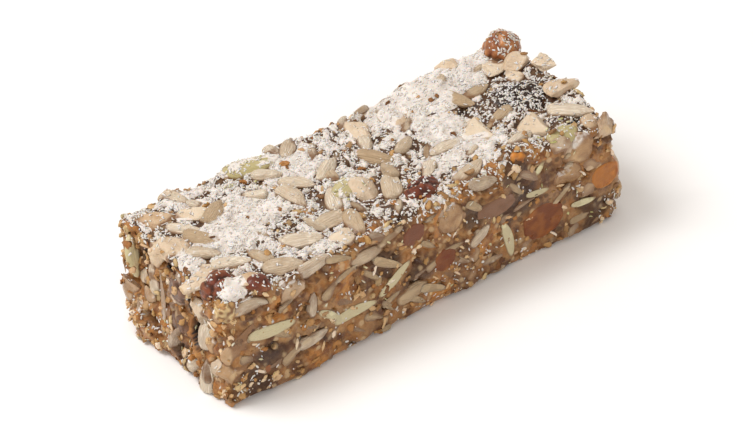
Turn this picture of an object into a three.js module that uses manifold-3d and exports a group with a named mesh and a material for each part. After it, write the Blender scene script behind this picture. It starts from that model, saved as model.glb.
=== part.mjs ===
// Granola bar: sunflower kernels, pumpkin seeds, nut flakes and dried fruit pressed into a slab with
// syrup, and cut into a block. The slab with its seeds and nuts is one solid. Each raisin, prune, date
// and apricot piece is a solid of its own, seated in a socket of the slab.
//
// Millimetres. +X runs along the bar, +Z is up, and the origin is the middle of the underside.

import * as THREE from 'three';
import { mergeVertices } from 'three/addons/utils/BufferGeometryUtils.js';
import Module from 'manifold-3d';

// ---- Driving dimensions ----

const LENGTH = 116;
const WIDTH = 47;
const HEIGHT = 29; // of the pressed top, which its proudest pieces pass
const PROUDEST = 5.4; // how far a piece may stand above the pressed top
const EDGE_ROUND = 1.5; // the broken edges' radius

// Length, width and thickness of one average piece of each kind.
const KERNEL = [8.8, 4.0, 2.6];
const PUMPKIN_SEED = [13.6, 7.2, 3.2];
const NUT_FLAKE = [8, 6.4, 3.2];
const NUT_WEDGE = [10, 9.4, 4.2];

const SOCKET_GAP = 0.35; // between a fruit piece and the slab all round it

// The faces that show. Each stands up from the bar's length by "stand" degrees, is turned "turn"
// degrees round from -Y, and lies "reach" out from the bar's frame. "sunk" is how far the paste
// between the seeds lies inside the outline, and "proud" is how far a seed's crown stands out of the
// paste: a knife leaves the long sides nearly flush, and the ends break rougher. The seeds that fill a
// face are turned by "lie", give or take up to "sway".
const SIDE = { stand: 90, reach: WIDTH / 2, sunk: 1.9, proud: 0.9, ripple: 0.25, lie: 0, sway: 50 };
const END = { stand: 90, reach: LENGTH / 2, sunk: 2.9, proud: 1.4, ripple: 0.45, lie: 90, sway: 50 };
const FACES = {
  top: { stand: 0, turn: 0, reach: HEIGHT, sunk: 1.2, proud: 1.6, ripple: 0.35, lie: 0, sway: 180 },
  near: { ...SIDE, turn: 0 },
  far: { ...SIDE, turn: 180 },
  left: { ...END, turn: -90 },
  right: { ...END, turn: 90 },
};
const SPAN = {
  top: [LENGTH, WIDTH],
  near: [LENGTH, HEIGHT],
  far: [LENGTH, HEIGHT],
  left: [WIDTH, HEIGHT],
  right: [WIDTH, HEIGHT],
};
const WITH_PUMPKIN = ['near', 'far', 'right']; // the faces that pumpkin seeds help to fill
const KNIFE = 0.7; // how far out of the paste of the two long sides the knife passed

// Broad rises and dips of a face: face, place along and up it, height, spread.
const SWELLS = [
  ['top', 28, 17, 1.8, 9],
  ['top', 29, -18, 2.0, 8],
  ['top', 13, 20, -3.0, 8],
  ['top', -51, 21, 1.0, 7],
  ['top', -20, 21, 0.5, 7],
  ['top', 50, 16, 1.2, 6],
  ['top', 43, 19, 1.2, 5],
  ['top', 53, -6, 1.8, 5],
  ['top', 38, -9, 0.8, 5],
  ['top', 54, -19, -1.2, 4.5],
  ['top', 54, 8, 2.2, 5],
  ['top', 55, -12, 1.2, 4],
  ['near', -38, 1, 1.9, 14],
  ['near', 28, 0, -1.2, 10],
  ['near', 50, 3, 0.7, 5],
  ['far', 20, 1, 1.9, 14],
  ['far', -30, 20, 0.5, 10],
  ['left', -11, 3, 3.1, 8],
  ['left', 14, 3, 1.6, 8],
  ['left', -20, 20, -1.8, 10],
  ['left', -4, 25, -1.2, 10],
  ['left', 2, 14, -1.4, 8],
  ['right', 0, 14, 0.6, 24],
  ['right', -17, 5, 2.4, 5],
  ['right', -18, 20, -1.0, 9],
];

// Holes that broken-out pieces left: centre and radii.
const HOLLOWS = [
  [-57, 3.0, 25.4, 6.6, 3.8, 2.1],
  [-57, -7.2, 20.5, 6.0, 1.3, 5.0],
  [-57, -8.8, 13.6, 8.4, 3.4, 4.8],
  [-57, 9.5, 7.5, 4.6, 3.4, 2.0],
  [-57, 12.6, 22.4, 4.4, 1.6, 4.0],
  [47.8, -16.8, 30.2, 4.6, 1.7, 2.6],
  [30.2, 3.4, 30.2, 2.6, 2.0, 2.6],
  [7.5, 9.2, 29.6, 2.6, 2.0, 2.2],
  [58, 10, 12, 4.0, 3.4, 2.6],
];

// Dried fruit: node, kind, centre, radii, turn about the vertical.
const FRUIT = [
  ['raisin_near_corner', 'raisin', [-50.8, -13.8, 26.9], [4.9, 4.2, 4.1], 10],
  ['raisin_near_edge', 'raisin', [-44.6, -19.2, 27.2], [3.6, 3.0, 2.7], -20],
  ['raisin_back_corner', 'raisin', [52.2, 17.2, 28.9], [5.5, 4.9, 5.4], 30],
  ['raisin_top_middle', 'raisin', [4.4, -15.2, 27.6], [5.4, 4.0, 2.7], 15],
  ['raisin_side', 'raisin', [-3.6, -20.4, 23.0], [4.4, 3.0, 4.0], 0],
  ['raisin_side_low', 'raisin', [-45.4, -20.4, 6.6], [4.4, 3.0, 2.7], 0],
  ['prune_top', 'prune', [43.4, -0.6, 27.3], [8.6, 7.6, 3.0], -25],
  ['date_end_low', 'date', [-51.4, -1.2, 10.8], [4.6, 6.0, 4.2], 0],
  ['date_end_high', 'date', [-52.4, -1.6, 20.8], [3.8, 4.4, 4.4], 0],
  ['date_side', 'date', [20.2, -20.2, 19.6], [7.2, 3.2, 3.5], 0],
  ['apricot_side_large', 'apricot', [33.4, -19.6, 9.6], [7.4, 4.2, 6.4], 0],
  ['apricot_side_corner', 'apricot', [51.2, -19.2, 13.8], [6.0, 4.6, 5.0], 0],
  ['apricot_side_middle', 'apricot', [4.6, -20.0, 12.2], [4.2, 3.6, 4.2], 0],
  ['apricot_side_low', 'apricot', [-33.6, -20.0, 4.4], [4.8, 3.6, 3.0], 0],
  ['apricot_top_edge', 'apricot', [28.4, -19.4, 28.4], [3.4, 2.8, 2.7], 0],
  ['apricot_end_corner', 'apricot', [-53.6, -20.2, 25.6], [2.8, 2.8, 2.8], 0],
  ['raisin_far_side', 'raisin', [-25.0, 20.0, 19.4], [4.6, 3.2, 3.6], 0],
  ['date_far_side', 'date', [13.4, 20.0, 20.2], [5.6, 3.4, 3.6], 0],
  ['apricot_far_side', 'apricot', [-5.6, 19.8, 9.6], [5.6, 3.8, 4.8], 0],
  ['raisin_far_end', 'raisin', [53.6, 6.0, 19.4], [3.9, 4.2, 3.4], 0],
  ['apricot_far_end', 'apricot', [53.2, -5.6, 8.6], [4.2, 4.6, 3.8], 0],
];

// Pieces that stand out: face, kind, place along and up the face, spin in the face, roll about the
// long axis (90 shows the thin edge), size against the average.
const CHOSEN = [
  ['top', 'kernel', -45.4, 8.3, -46, 0, 0.95],
  ['top', 'kernel', -44.2, 2.6, -52, 20, 1.1],
  ['top', 'kernel', -46.9, -2.2, -44, 0, 1.0],
  ['top', 'kernel', -44.6, -9.8, -24, 0, 1.1],
  ['top', 'kernel', -36.2, 9.3, 35, 10, 1.1],
  ['top', 'nut', -40.8, 11.6, -30, 0, 0.85],
  ['top', 'nut', -51.8, 4.8, -36, 10, 1.15],
  ['top', 'kernel', -36.0, -18.0, -24, 25, 1.15],
  ['top', 'pumpkin', -20.1, 18.4, -10, -12, 1.1],
  ['top', 'kernel', -19.2, 13.0, -40, 0, 0.95],
  ['top', 'kernel', -15.4, 5.7, -48, 0, 1.05],
  ['top', 'kernel', -17.1, -11.2, 0, 15, 1.2],
  ['top', 'kernel', -27.3, -12.8, -28, 20, 1.2],
  ['top', 'nut', -19.8, -18.0, -20, 0, 0.8],
  ['top', 'nut', -5.0, -6.2, 39, 20, 1.2],
  ['top', 'kernel', 0.4, -8.6, 64, 10, 1.35],
  ['top', 'kernel', 4.2, 2.4, -56, 55, 1.25],
  ['top', 'kernel', -6.4, 6.4, 36, 60, 1.3],
  ['top', 'nut', 8.4, 14.6, 70, 0, 1.2],
  ['top', 'nut', 17.2, 12.6, 75, 10, 1.0],
  ['top', 'pumpkin', -8.4, -3.2, 30, 10, 0.7],
  ['top', 'nut', 51.6, 10.4, 0, 0, 1.15],
  ['top', 'nut', 55.2, 5.6, 60, 0, 0.8],
  ['top', 'nut', 52.4, -5.4, 20, 10, 1.0],
  ['top', 'kernel', 49.0, -12.8, -40, 10, 1.25],
  ['top', 'wedge', 38.2, -12.4, 146, -20, 1.05],
  ['top', 'wedge', 27.4, -5.0, 150, -18, 1.1],
  ['top', 'kernel', 31.6, 7.4, -66, 20, 1.0],
  ['top', 'nut', 50.4, -18.4, 40, 0, 0.75],
  ['top', 'pumpkin', 41.6, -19.4, 5, 25, 0.7],
  ['near', 'pumpkin', -43.4, 16.2, -6, 78, 1.0],
  ['near', 'kernel', -47.9, 24.6, -5, 20, 1.25],
  ['near', 'kernel', -29.4, 26.4, 8, 30, 1.25],
  ['near', 'kernel', -32.0, 17.6, 80, 10, 0.8],
  ['near', 'pumpkin', -28.0, 12.6, -40, 70, 0.6],
  ['near', 'nut', -36.8, 23.6, 10, 0, 1.0],
  ['near', 'kernel', -33.0, 9.0, 8, 10, 0.95],
  ['near', 'kernel', -15.7, 23.0, -2, 10, 1.35],
  ['near', 'pumpkin', -9.4, 13.4, 31, 75, 0.85],
  ['near', 'kernel', -4.4, 7.2, 10, 10, 1.2],
  ['near', 'pumpkin', -21.1, 10.2, 1, 80, 1.0],
  ['near', 'nut', 7.0, 22.6, 60, 0, 1.2],
  ['near', 'kernel', 15.0, 14.0, 30, 0, 0.9],
  ['near', 'pumpkin', 44.9, 9.2, -6, 70, 0.55],
  ['near', 'nut', 41.0, 18.2, 0, 0, 1.2],
  ['near', 'nut', 44.0, 24.0, 5, 0, 1.25],
  ['near', 'pumpkin', 22.8, 8.8, -76, 75, 0.85],
  ['near', 'kernel', 17.4, 27.0, -10, 20, 1.0],
  ['near', 'nut', 52.6, 26.6, 0, 0, 0.9],
  ['left', 'pumpkin', -16.8, 20.0, -84, 62, 0.85],
  ['left', 'nut', -7.4, 25.6, 30, 0, 0.85],
  ['left', 'kernel', 13.9, 16.2, 72, 40, 1.5],
  ['left', 'kernel', 14.2, 4.6, 80, 30, 1.1],
  ['left', 'nut', 11.2, 21.4, 80, 0, 0.8],
  ['left', 'kernel', 8.2, 4.8, 50, 20, 0.9],
  ['right', 'nut', -17.5, 5.0, 20, 0, 1.0],
];

// How many more pieces each face gets, spread evenly between the chosen ones.
const FILL = { top: 24, near: 16, far: 20, left: 5, right: 9 };
// From the rim of the face.
const FILL_MARGIN = { top: 2.4, near: 2.4, far: 2.4, left: 5, right: 5 };
const FILL_TILT = 14; // degrees out of the face at most
const ON_EDGE = 60; // degrees of roll from which a piece in a cut face is one that the knife went through
const CUT_SHARE = 0.55; // of such a piece's half height lies beyond the others' crowns
const CLEARANCE = 0.5; // centres lie at least this share of the two lengths' mean apart
const HOLLOW_CLEARANCE = 1.3; // and this many radii away from the middle of a hollow

// Steps of evenly spread sequences, a different one for each thing that varies.
const STEP = {
  along: 0.7548777,
  up: 0.5698403,
  spin: 0.618034,
  roll: 0.4142136,
  size: 0.7320508,
  kind: 0.236068,
  tilt: 0.3027756,
};

const COLOUR = { slab: 0xb08d68, raisin: 0x5a2418, prune: 0x2e1a14, date: 0x6b4a35, apricot: 0xc0702c };

// ---- Solids ----

const wasm = await Module();
wasm.setup();

// A closed geometry as a solid.
function solidOf(geometry) {
  const bare = geometry.clone();
  for (const name of ['normal', 'uv']) bare.deleteAttribute(name);
  const merged = mergeVertices(bare, 1e-4);
  const vertProperties = new Float32Array(merged.attributes.position.array);
  const triVerts = new Uint32Array(merged.index.array);
  return new wasm.Manifold(new wasm.Mesh({ numProp: 3, vertProperties, triVerts }));
}

// A solid as a geometry with flat faces.
function geometryOf(solid) {
  const { numProp, vertProperties, triVerts } = solid.getMesh();
  const position = [];
  for (const vertex of triVerts) {
    position.push(...vertProperties.subarray(vertex * numProp, vertex * numProp + 3));
  }
  const geometry = new THREE.BufferGeometry();
  geometry.setAttribute('position', new THREE.Float32BufferAttribute(position, 3));
  geometry.computeVertexNormals();
  return geometry;
}

// The largest body of a solid, without the scraps that cutting left loose.
function largestBody(solid) {
  return solid.decompose().sort((a, b) => b.volume() - a.volume())[0];
}

// Moves each vertex of a geometry to shape(point).
function reshaped(geometry, shape) {
  const { position } = geometry.attributes;
  const point = new THREE.Vector3();
  for (let i = 0; i < position.count; i++) {
    point.fromBufferAttribute(position, i);
    shape(point);
    position.setXYZ(i, point.x, point.y, point.z);
  }
  return geometry;
}

// ---- Faces ----

// The matrix that carries (along, up, out) of a face to the bar's own frame. A side face counts
// "up" from the underside, and the top counts it from the middle.
function faceMatrix({ stand, turn, reach }) {
  const matrix = new THREE.Matrix4().makeRotationZ(THREE.MathUtils.degToRad(turn));
  matrix.multiply(new THREE.Matrix4().makeRotationX(THREE.MathUtils.degToRad(stand)));
  return matrix.multiply(new THREE.Matrix4().makeTranslation(0, 0, reach));
}

// How far the paste stands out of the face's outline plane, which is negative nearly everywhere.
function relief(name, along, up) {
  const { sunk, ripple } = FACES[name];
  const wave = Math.sin(along * 0.31 + up * 0.12 + sunk * 9) * Math.cos(up * 0.37 - along * 0.09);
  let height = wave * ripple - sunk;
  for (const [face, x, y, rise, reach] of SWELLS) {
    if (face === name) height += rise * Math.exp(-((along - x) ** 2 + (up - y) ** 2) / reach ** 2);
  }
  return height;
}

// ---- Pieces ----

// A drop-shaped kernel, pointed at +X: half as many faces as it needs to look round.
function kernelShape([length, width, thickness]) {
  const shape = new THREE.SphereGeometry(1, 6, 3).rotateZ(Math.PI / 2);
  return reshaped(shape, (p) => {
    const girth = 1 - 0.28 * p.x;
    p.set((p.x * length) / 2, (p.y * girth * width) / 2, (p.z * girth * thickness) / 2);
  });
}

// A flat oval seed with a point and a rim.
function pumpkinShape([length, width, thickness]) {
  const shape = new THREE.SphereGeometry(1, 8, 4).rotateZ(Math.PI / 2);
  return reshaped(shape, (p) => {
    const girth = 1 - 0.18 * p.x;
    p.set((p.x * length) / 2, (p.y * girth * width) / 2, (p.z * thickness) / 2);
  });
}

// A broken flake with flat facets.
function nutShape([length, width, thickness]) {
  const shape = new THREE.IcosahedronGeometry(1, 0);
  return reshaped(shape, (p) => {
    const skew = 1 + 0.25 * Math.sin(p.x * 3 + p.y * 2);
    p.set((p.x * skew * length) / 2, ((p.y + 0.2 * p.x) * width) / 2, (p.z * skew * thickness) / 2);
  });
}

// A three-cornered piece of nut with blunt corners, one of them at -Y.
function wedgeShape([length, width, thickness]) {
  const shape = new THREE.CylinderGeometry(0.85, 1, 1, 12, 1, false, Math.PI / 12);
  reshaped(shape.rotateX(Math.PI / 2), (p) => {
    const corner = (Math.PI * 2) / 3;
    const turn = Math.atan2(p.x, -p.y) + 2 * corner;
    const fromSide = (turn % corner) - corner / 2;
    const reach = 0.7 / Math.cos(fromSide);
    p.set((p.x * reach * length) / 1.7, (p.y * reach * width) / 1.6, p.z * thickness);
  });
  return shape;
}

const PIECES = {
  kernel: { make: kernelShape, size: KERNEL },
  pumpkin: { make: pumpkinShape, size: PUMPKIN_SEED },
  nut: { make: nutShape, size: NUT_FLAKE },
  wedge: { make: wedgeShape, size: NUT_WEDGE },
};

// One piece, seated on the paste of its face with its crown standing proud. The knife has gone
// through those that lie on edge in a cut face.
function seated([face, kind, along, up, spin, roll, scale, tilt = 0]) {
  const { make, size } = PIECES[kind];
  const [length, width, thickness] = size.map((part) => part * scale);
  const rolled = THREE.MathUtils.degToRad(roll);
  const crown = Math.hypot(Math.cos(rolled) * thickness, Math.sin(rolled) * width) / 2;
  const cutThrough = face !== 'top' && roll >= ON_EDGE ? CUT_SHARE * crown : 0;
  const height = relief(face, along, up) + FACES[face].proud - crown + cutThrough;
  const shape = make([length, width, thickness]).rotateX(rolled);
  shape.rotateY(THREE.MathUtils.degToRad(tilt)).rotateZ(THREE.MathUtils.degToRad(spin));
  return solidOf(shape.translate(along, up, height).applyMatrix4(faceMatrix(FACES[face])));
}

// The n-th value from 0 to 1 of an evenly spread sequence.
const spread = (n, step) => (n * step) % 1;

// Where a fruit piece shows on a face, as a row like those of CHOSEN.
function fruitSpot(face, [, , centre, radii]) {
  const local = new THREE.Vector3(...centre).applyMatrix4(faceMatrix(FACES[face]).invert());
  const shows = local.z > -Math.max(...radii);
  return shows ? [face, 'fruit', local.x, local.y, 0, 0, Math.max(...radii) / 2.6] : null;
}

// Whether a place on a face lies in the mouth of a hollow.
function inHollow(face, along, up) {
  const spot = new THREE.Vector3(along, up, relief(face, along, up));
  spot.applyMatrix4(faceMatrix(FACES[face]));
  return HOLLOWS.some(([x, y, z, rx, ry, rz]) => {
    const away = Math.hypot((spot.x - x) / rx, (spot.y - y) / ry, (spot.z - z) / rz);
    return away < HOLLOW_CLEARANCE;
  });
}

const lengthOf = ([, kind, , , , , scale]) => (kind === 'fruit' ? 5.2 : PIECES[kind].size[0]) * scale;

// The rows that fill a face, each clear of the chosen pieces, the fruit and the hollows.
function fillRows(face) {
  const { lie, sway } = FACES[face];
  const rows = [];
  const taken = CHOSEN.filter((row) => row[0] === face);
  taken.push(...FRUIT.map((fruit) => fruitSpot(face, fruit)).filter(Boolean));
  for (let n = 1; rows.length < FILL[face] && n < 40 * FILL[face]; n++) {
    const along = (spread(n, STEP.along) - 0.5) * (SPAN[face][0] - 2 * FILL_MARGIN[face]);
    const middle = face === 'top' ? 0 : HEIGHT / 2;
    const up = middle + (spread(n, STEP.up) - 0.5) * (SPAN[face][1] - 2 * FILL_MARGIN[face]);
    const pick = spread(n, STEP.kind);
    const other = pick < 0.86 && WITH_PUMPKIN.includes(face) ? 'pumpkin' : 'nut';
    const kind = pick < 0.74 ? 'kernel' : other;
    const spin = lie + (spread(n, STEP.spin) * 2 - 1) * sway;
    const edgeOn = face === 'top' ? 40 : 90;
    const roll = kind === 'nut' ? 0 : spread(n, STEP.roll) * edgeOn;
    const scale = (kind === 'pumpkin' ? 0.72 : 0.85) + 0.3 * spread(n, STEP.size);
    const tilt = (spread(n, STEP.tilt) - 0.5) * 2 * FILL_TILT;
    const row = [face, kind, along, up, spin, roll, scale, tilt];
    const isClear = (laid) => {
      const apart = Math.hypot(laid[2] - along, laid[3] - up);
      return apart > (CLEARANCE * (lengthOf(laid) + lengthOf(row))) / 2;
    };
    if ([...taken, ...rows].every(isClear) && !inHollow(face, along, up)) rows.push(row);
  }
  return rows;
}

// ---- Fruit ----

// A lump of dried fruit as a ball with the radii grown by gap: raisins wrinkle, and cut apricot,
// prune and date are blockier.
function fruitShape([, kind, centre, radii, turn], gap = 0) {
  const shape = new THREE.IcosahedronGeometry(1, 1);
  reshaped(shape, (p) => {
    if (kind !== 'raisin') {
      const block = Math.max(Math.abs(p.x), Math.abs(p.y), Math.abs(p.z));
      p.multiplyScalar(0.93 + 0.3 * (1 - block));
    }
    if (gap === 0) {
      const fold = Math.sin(p.x * 5 + p.z * 3) * Math.sin(p.y * 6 - p.x * 2);
      p.multiplyScalar(1 - (kind === 'raisin' ? 0.09 : 0.03) * (1 + fold) * 0.5);
    }
    p.set(p.x * (radii[0] + gap), p.y * (radii[1] + gap), p.z * (radii[2] + gap));
  });
  shape.rotateZ(THREE.MathUtils.degToRad(turn));
  return solidOf(shape.translate(...centre));
}

// ---- The slab ----

// A block with the uneven faces of the paste, moved out by "sides" on the long sides and by "rest" on
// the others, and with its edges broken by "inset".
function unevenBlock(inset, sides, rest) {
  const shape = new THREE.BoxGeometry(2, 2, 2, 16, 7, 5);
  return solidOf(
    reshaped(shape, (p) => {
      const onRim = [p.x, p.y, p.z].filter((value) => Math.abs(value) === 1).length;
      const broken = onRim > 1 ? inset : 0;
      const x = (p.x * LENGTH) / 2;
      const y = (p.y * WIDTH) / 2;
      const z = ((p.z + 1) * HEIGHT) / 2;
      const out = new THREE.Vector3(x, y, z);
      if (p.x === 1) out.x += relief('right', y, z) - broken + rest;
      if (p.x === -1) out.x -= relief('left', -y, z) - broken + rest;
      if (p.y === 1) out.y += relief('far', -x, z) - broken + sides;
      if (p.y === -1) out.y -= relief('near', x, z) - broken + sides;
      if (p.z === 1) out.z += relief('top', x, y) - broken + rest;
      if (p.z === -1) out.z -= rest;
      p.copy(out);
    }),
  );
}

function hollow([x, y, z, rx, ry, rz]) {
  return solidOf(new THREE.SphereGeometry(1, 8, 6).scale(rx, ry, rz).translate(x, y, z));
}

// What the knife and the tray leave: nothing passes the bar's outline or the cuts of its long sides.
function cutOutline() {
  const tall = HEIGHT + PROUDEST;
  const box = solidOf(new THREE.BoxGeometry(LENGTH, WIDTH, tall).translate(0, 0, tall / 2));
  return box.intersect(unevenBlock(0, KNIFE, 2 * PROUDEST));
}

const outline = cutOutline();
const rows = [...CHOSEN, ...Object.keys(FACES).flatMap(fillRows)];
const paste = unevenBlock(EDGE_ROUND * 0.3, 0, 0);
const carved = HOLLOWS.reduce((slab, row) => slab.subtract(hollow(row)), paste);
const studded = rows.reduce((slab, row) => slab.add(seated(row)), carved);
const sockets = FRUIT.reduce((slab, fruit) => slab.subtract(fruitShape(fruit, SOCKET_GAP)), studded);
const slab = largestBody(sockets.intersect(outline));

// ---- The bar ----

const bar = new THREE.Group();

function addPart(name, solid, colour, roughness) {
  const material = new THREE.MeshStandardMaterial({ color: colour, roughness, metalness: 0 });
  const mesh = new THREE.Mesh(geometryOf(solid), material);
  mesh.name = name;
  bar.add(mesh);
}

addPart('seed_slab', slab, COLOUR.slab, 0.6);
for (const fruit of FRUIT) {
  const [name, kind] = fruit;
  addPart(name, largestBody(fruitShape(fruit).intersect(outline)), COLOUR[kind], 0.4);
}

export default bar;
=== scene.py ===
"""Looks of a granola bar: kernels, seeds, nut flakes and dried fruit pressed in a brown paste, under a
blanket of desiccated coconut.

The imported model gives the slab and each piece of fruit. This script lays the paste and the seeds on
the same faces by the same rules as the slab, dresses the fruit in wrinkles, then drops the coconut
on whatever lies on top. Sizes are in millimetres until a mesh is made.
"""

import itertools
import math

import bmesh
import bpy
import numpy as np
from mathutils import Matrix, Vector
from mathutils.bvhtree import BVHTree


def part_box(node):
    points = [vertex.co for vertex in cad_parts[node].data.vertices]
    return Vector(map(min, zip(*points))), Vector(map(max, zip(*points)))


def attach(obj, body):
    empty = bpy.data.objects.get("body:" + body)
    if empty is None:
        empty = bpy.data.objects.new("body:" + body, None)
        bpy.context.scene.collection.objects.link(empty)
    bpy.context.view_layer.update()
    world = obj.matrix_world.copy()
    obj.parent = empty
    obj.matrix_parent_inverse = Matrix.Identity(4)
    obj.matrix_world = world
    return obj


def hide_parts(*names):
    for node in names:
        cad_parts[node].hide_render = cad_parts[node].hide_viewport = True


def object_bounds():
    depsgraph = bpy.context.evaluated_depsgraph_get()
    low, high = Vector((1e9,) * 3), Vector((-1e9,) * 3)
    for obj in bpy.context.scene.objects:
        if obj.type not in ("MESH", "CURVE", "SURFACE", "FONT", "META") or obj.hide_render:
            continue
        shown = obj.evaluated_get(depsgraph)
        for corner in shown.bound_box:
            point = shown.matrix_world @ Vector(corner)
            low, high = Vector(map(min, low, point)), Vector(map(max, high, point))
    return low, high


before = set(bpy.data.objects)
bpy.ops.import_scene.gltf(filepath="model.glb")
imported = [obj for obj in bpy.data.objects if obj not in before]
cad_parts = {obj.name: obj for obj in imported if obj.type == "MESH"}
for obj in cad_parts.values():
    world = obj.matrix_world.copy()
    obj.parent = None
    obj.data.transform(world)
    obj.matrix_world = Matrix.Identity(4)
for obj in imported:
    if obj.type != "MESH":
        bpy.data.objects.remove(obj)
cad_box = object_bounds()

# ---- Driving dimensions, as in the part's source ----

MM = 0.001  # metres
SLAB_LOW, SLAB_HIGH = (np.array(corner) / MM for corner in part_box("seed_slab"))
LENGTH, WIDTH = (SLAB_HIGH - SLAB_LOW)[:2]
PRESSED = 29.0  # height of the pressed top
PROUDEST = float(cad_box[1].z) / MM
EDGE_ROUND = 1.8

KERNEL = (8.8, 4.0, 2.6)
PUMPKIN_SEED = (13.6, 7.2, 3.2)
NUT_FLAKE = (8.0, 6.4, 3.2)
NUT_WEDGE = (10.0, 9.4, 4.2)

# The faces that show: how they stand and turn, how far out they lie, their size, how far the paste
# is sunk in the outline, how far a seed's crown stands out of the paste, and how the seeds lie.
SIDE = dict(
    stand=90, reach=WIDTH / 2, span=(LENGTH, PRESSED), sunk=1.9, proud=0.9, ripple=0.25, lie=0, sway=50
)
END = dict(
    stand=90, reach=LENGTH / 2, span=(WIDTH, PRESSED), sunk=2.9, proud=1.4, ripple=0.45, lie=90, sway=50
)
TOP = dict(
    stand=0, reach=PRESSED, span=(LENGTH, WIDTH), sunk=1.2, proud=1.6, ripple=0.35, lie=0, sway=180
)
FACES = {
    "top": {**TOP, "turn": 0},
    "near": {**SIDE, "turn": 0},
    "far": {**SIDE, "turn": 180},
    "left": {**END, "turn": -90},
    "right": {**END, "turn": 90},
    "under": {**TOP, "stand": 180, "turn": 0, "reach": 0, "sunk": 0.3, "proud": 0.45, "ripple": 0.12},
}
WITH_PUMPKIN = ("near", "far", "right", "under")
KNIFE = 0.7  # how far out of the paste of the two long sides the knife passed
TORN = 0.06  # how uneven what it cut is left

# Broad rises and dips: face, place along and up it, height, spread.
SWELLS = [
    ("top", 28, 17, 1.8, 9),
    ("top", 29, -18, 2.0, 8),
    ("top", 13, 20, -3.0, 8),
    ("top", -51, 21, 1.0, 7),
    ("top", -20, 21, 0.5, 7),
    ("top", 50, 16, 1.2, 6),
    ("top", 43, 19, 1.2, 5),
    ("top", 53, -6, 1.8, 5),
    ("top", 38, -9, 0.8, 5),
    ("top", 54, -19, -1.2, 4.5),
    ("top", 54, 8, 2.2, 5),
    ("top", 55, -12, 1.2, 4),
    ("near", -38, 1, 1.9, 14),
    ("near", 28, 0, -1.2, 10),
    ("near", 50, 3, 0.7, 5),
    ("far", 20, 1, 1.9, 14),
    ("far", -30, 20, 0.5, 10),
    ("left", -11, 3, 3.1, 8),
    ("left", 14, 3, 1.6, 8),
    ("left", -20, 20, -1.8, 10),
    ("left", -4, 25, -1.2, 10),
    ("left", 2, 14, -1.4, 8),
    ("right", 0, 14, 0.6, 24),
    ("right", -17, 5, 2.4, 5),
    ("right", -18, 20, -1.0, 9),
]

# Holes that broken-out pieces left: centre and radii.
HOLLOWS = [
    (-57, 3.0, 25.4, 6.6, 3.8, 2.1),
    (-57, -7.2, 20.5, 6.0, 1.3, 5.0),
    (-57, -8.8, 13.6, 8.4, 3.4, 4.8),
    (-57, 9.5, 7.5, 4.6, 3.4, 2.0),
    (-57, 12.6, 22.4, 4.4, 1.6, 4.0),
    (47.8, -16.8, 30.2, 4.6, 1.7, 2.6),
    (30.2, 3.4, 30.2, 2.6, 2.0, 2.6),
    (7.5, 9.2, 29.6, 2.6, 2.0, 2.2),
    (58, 10, 12, 4.0, 3.4, 2.6),
]

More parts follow.
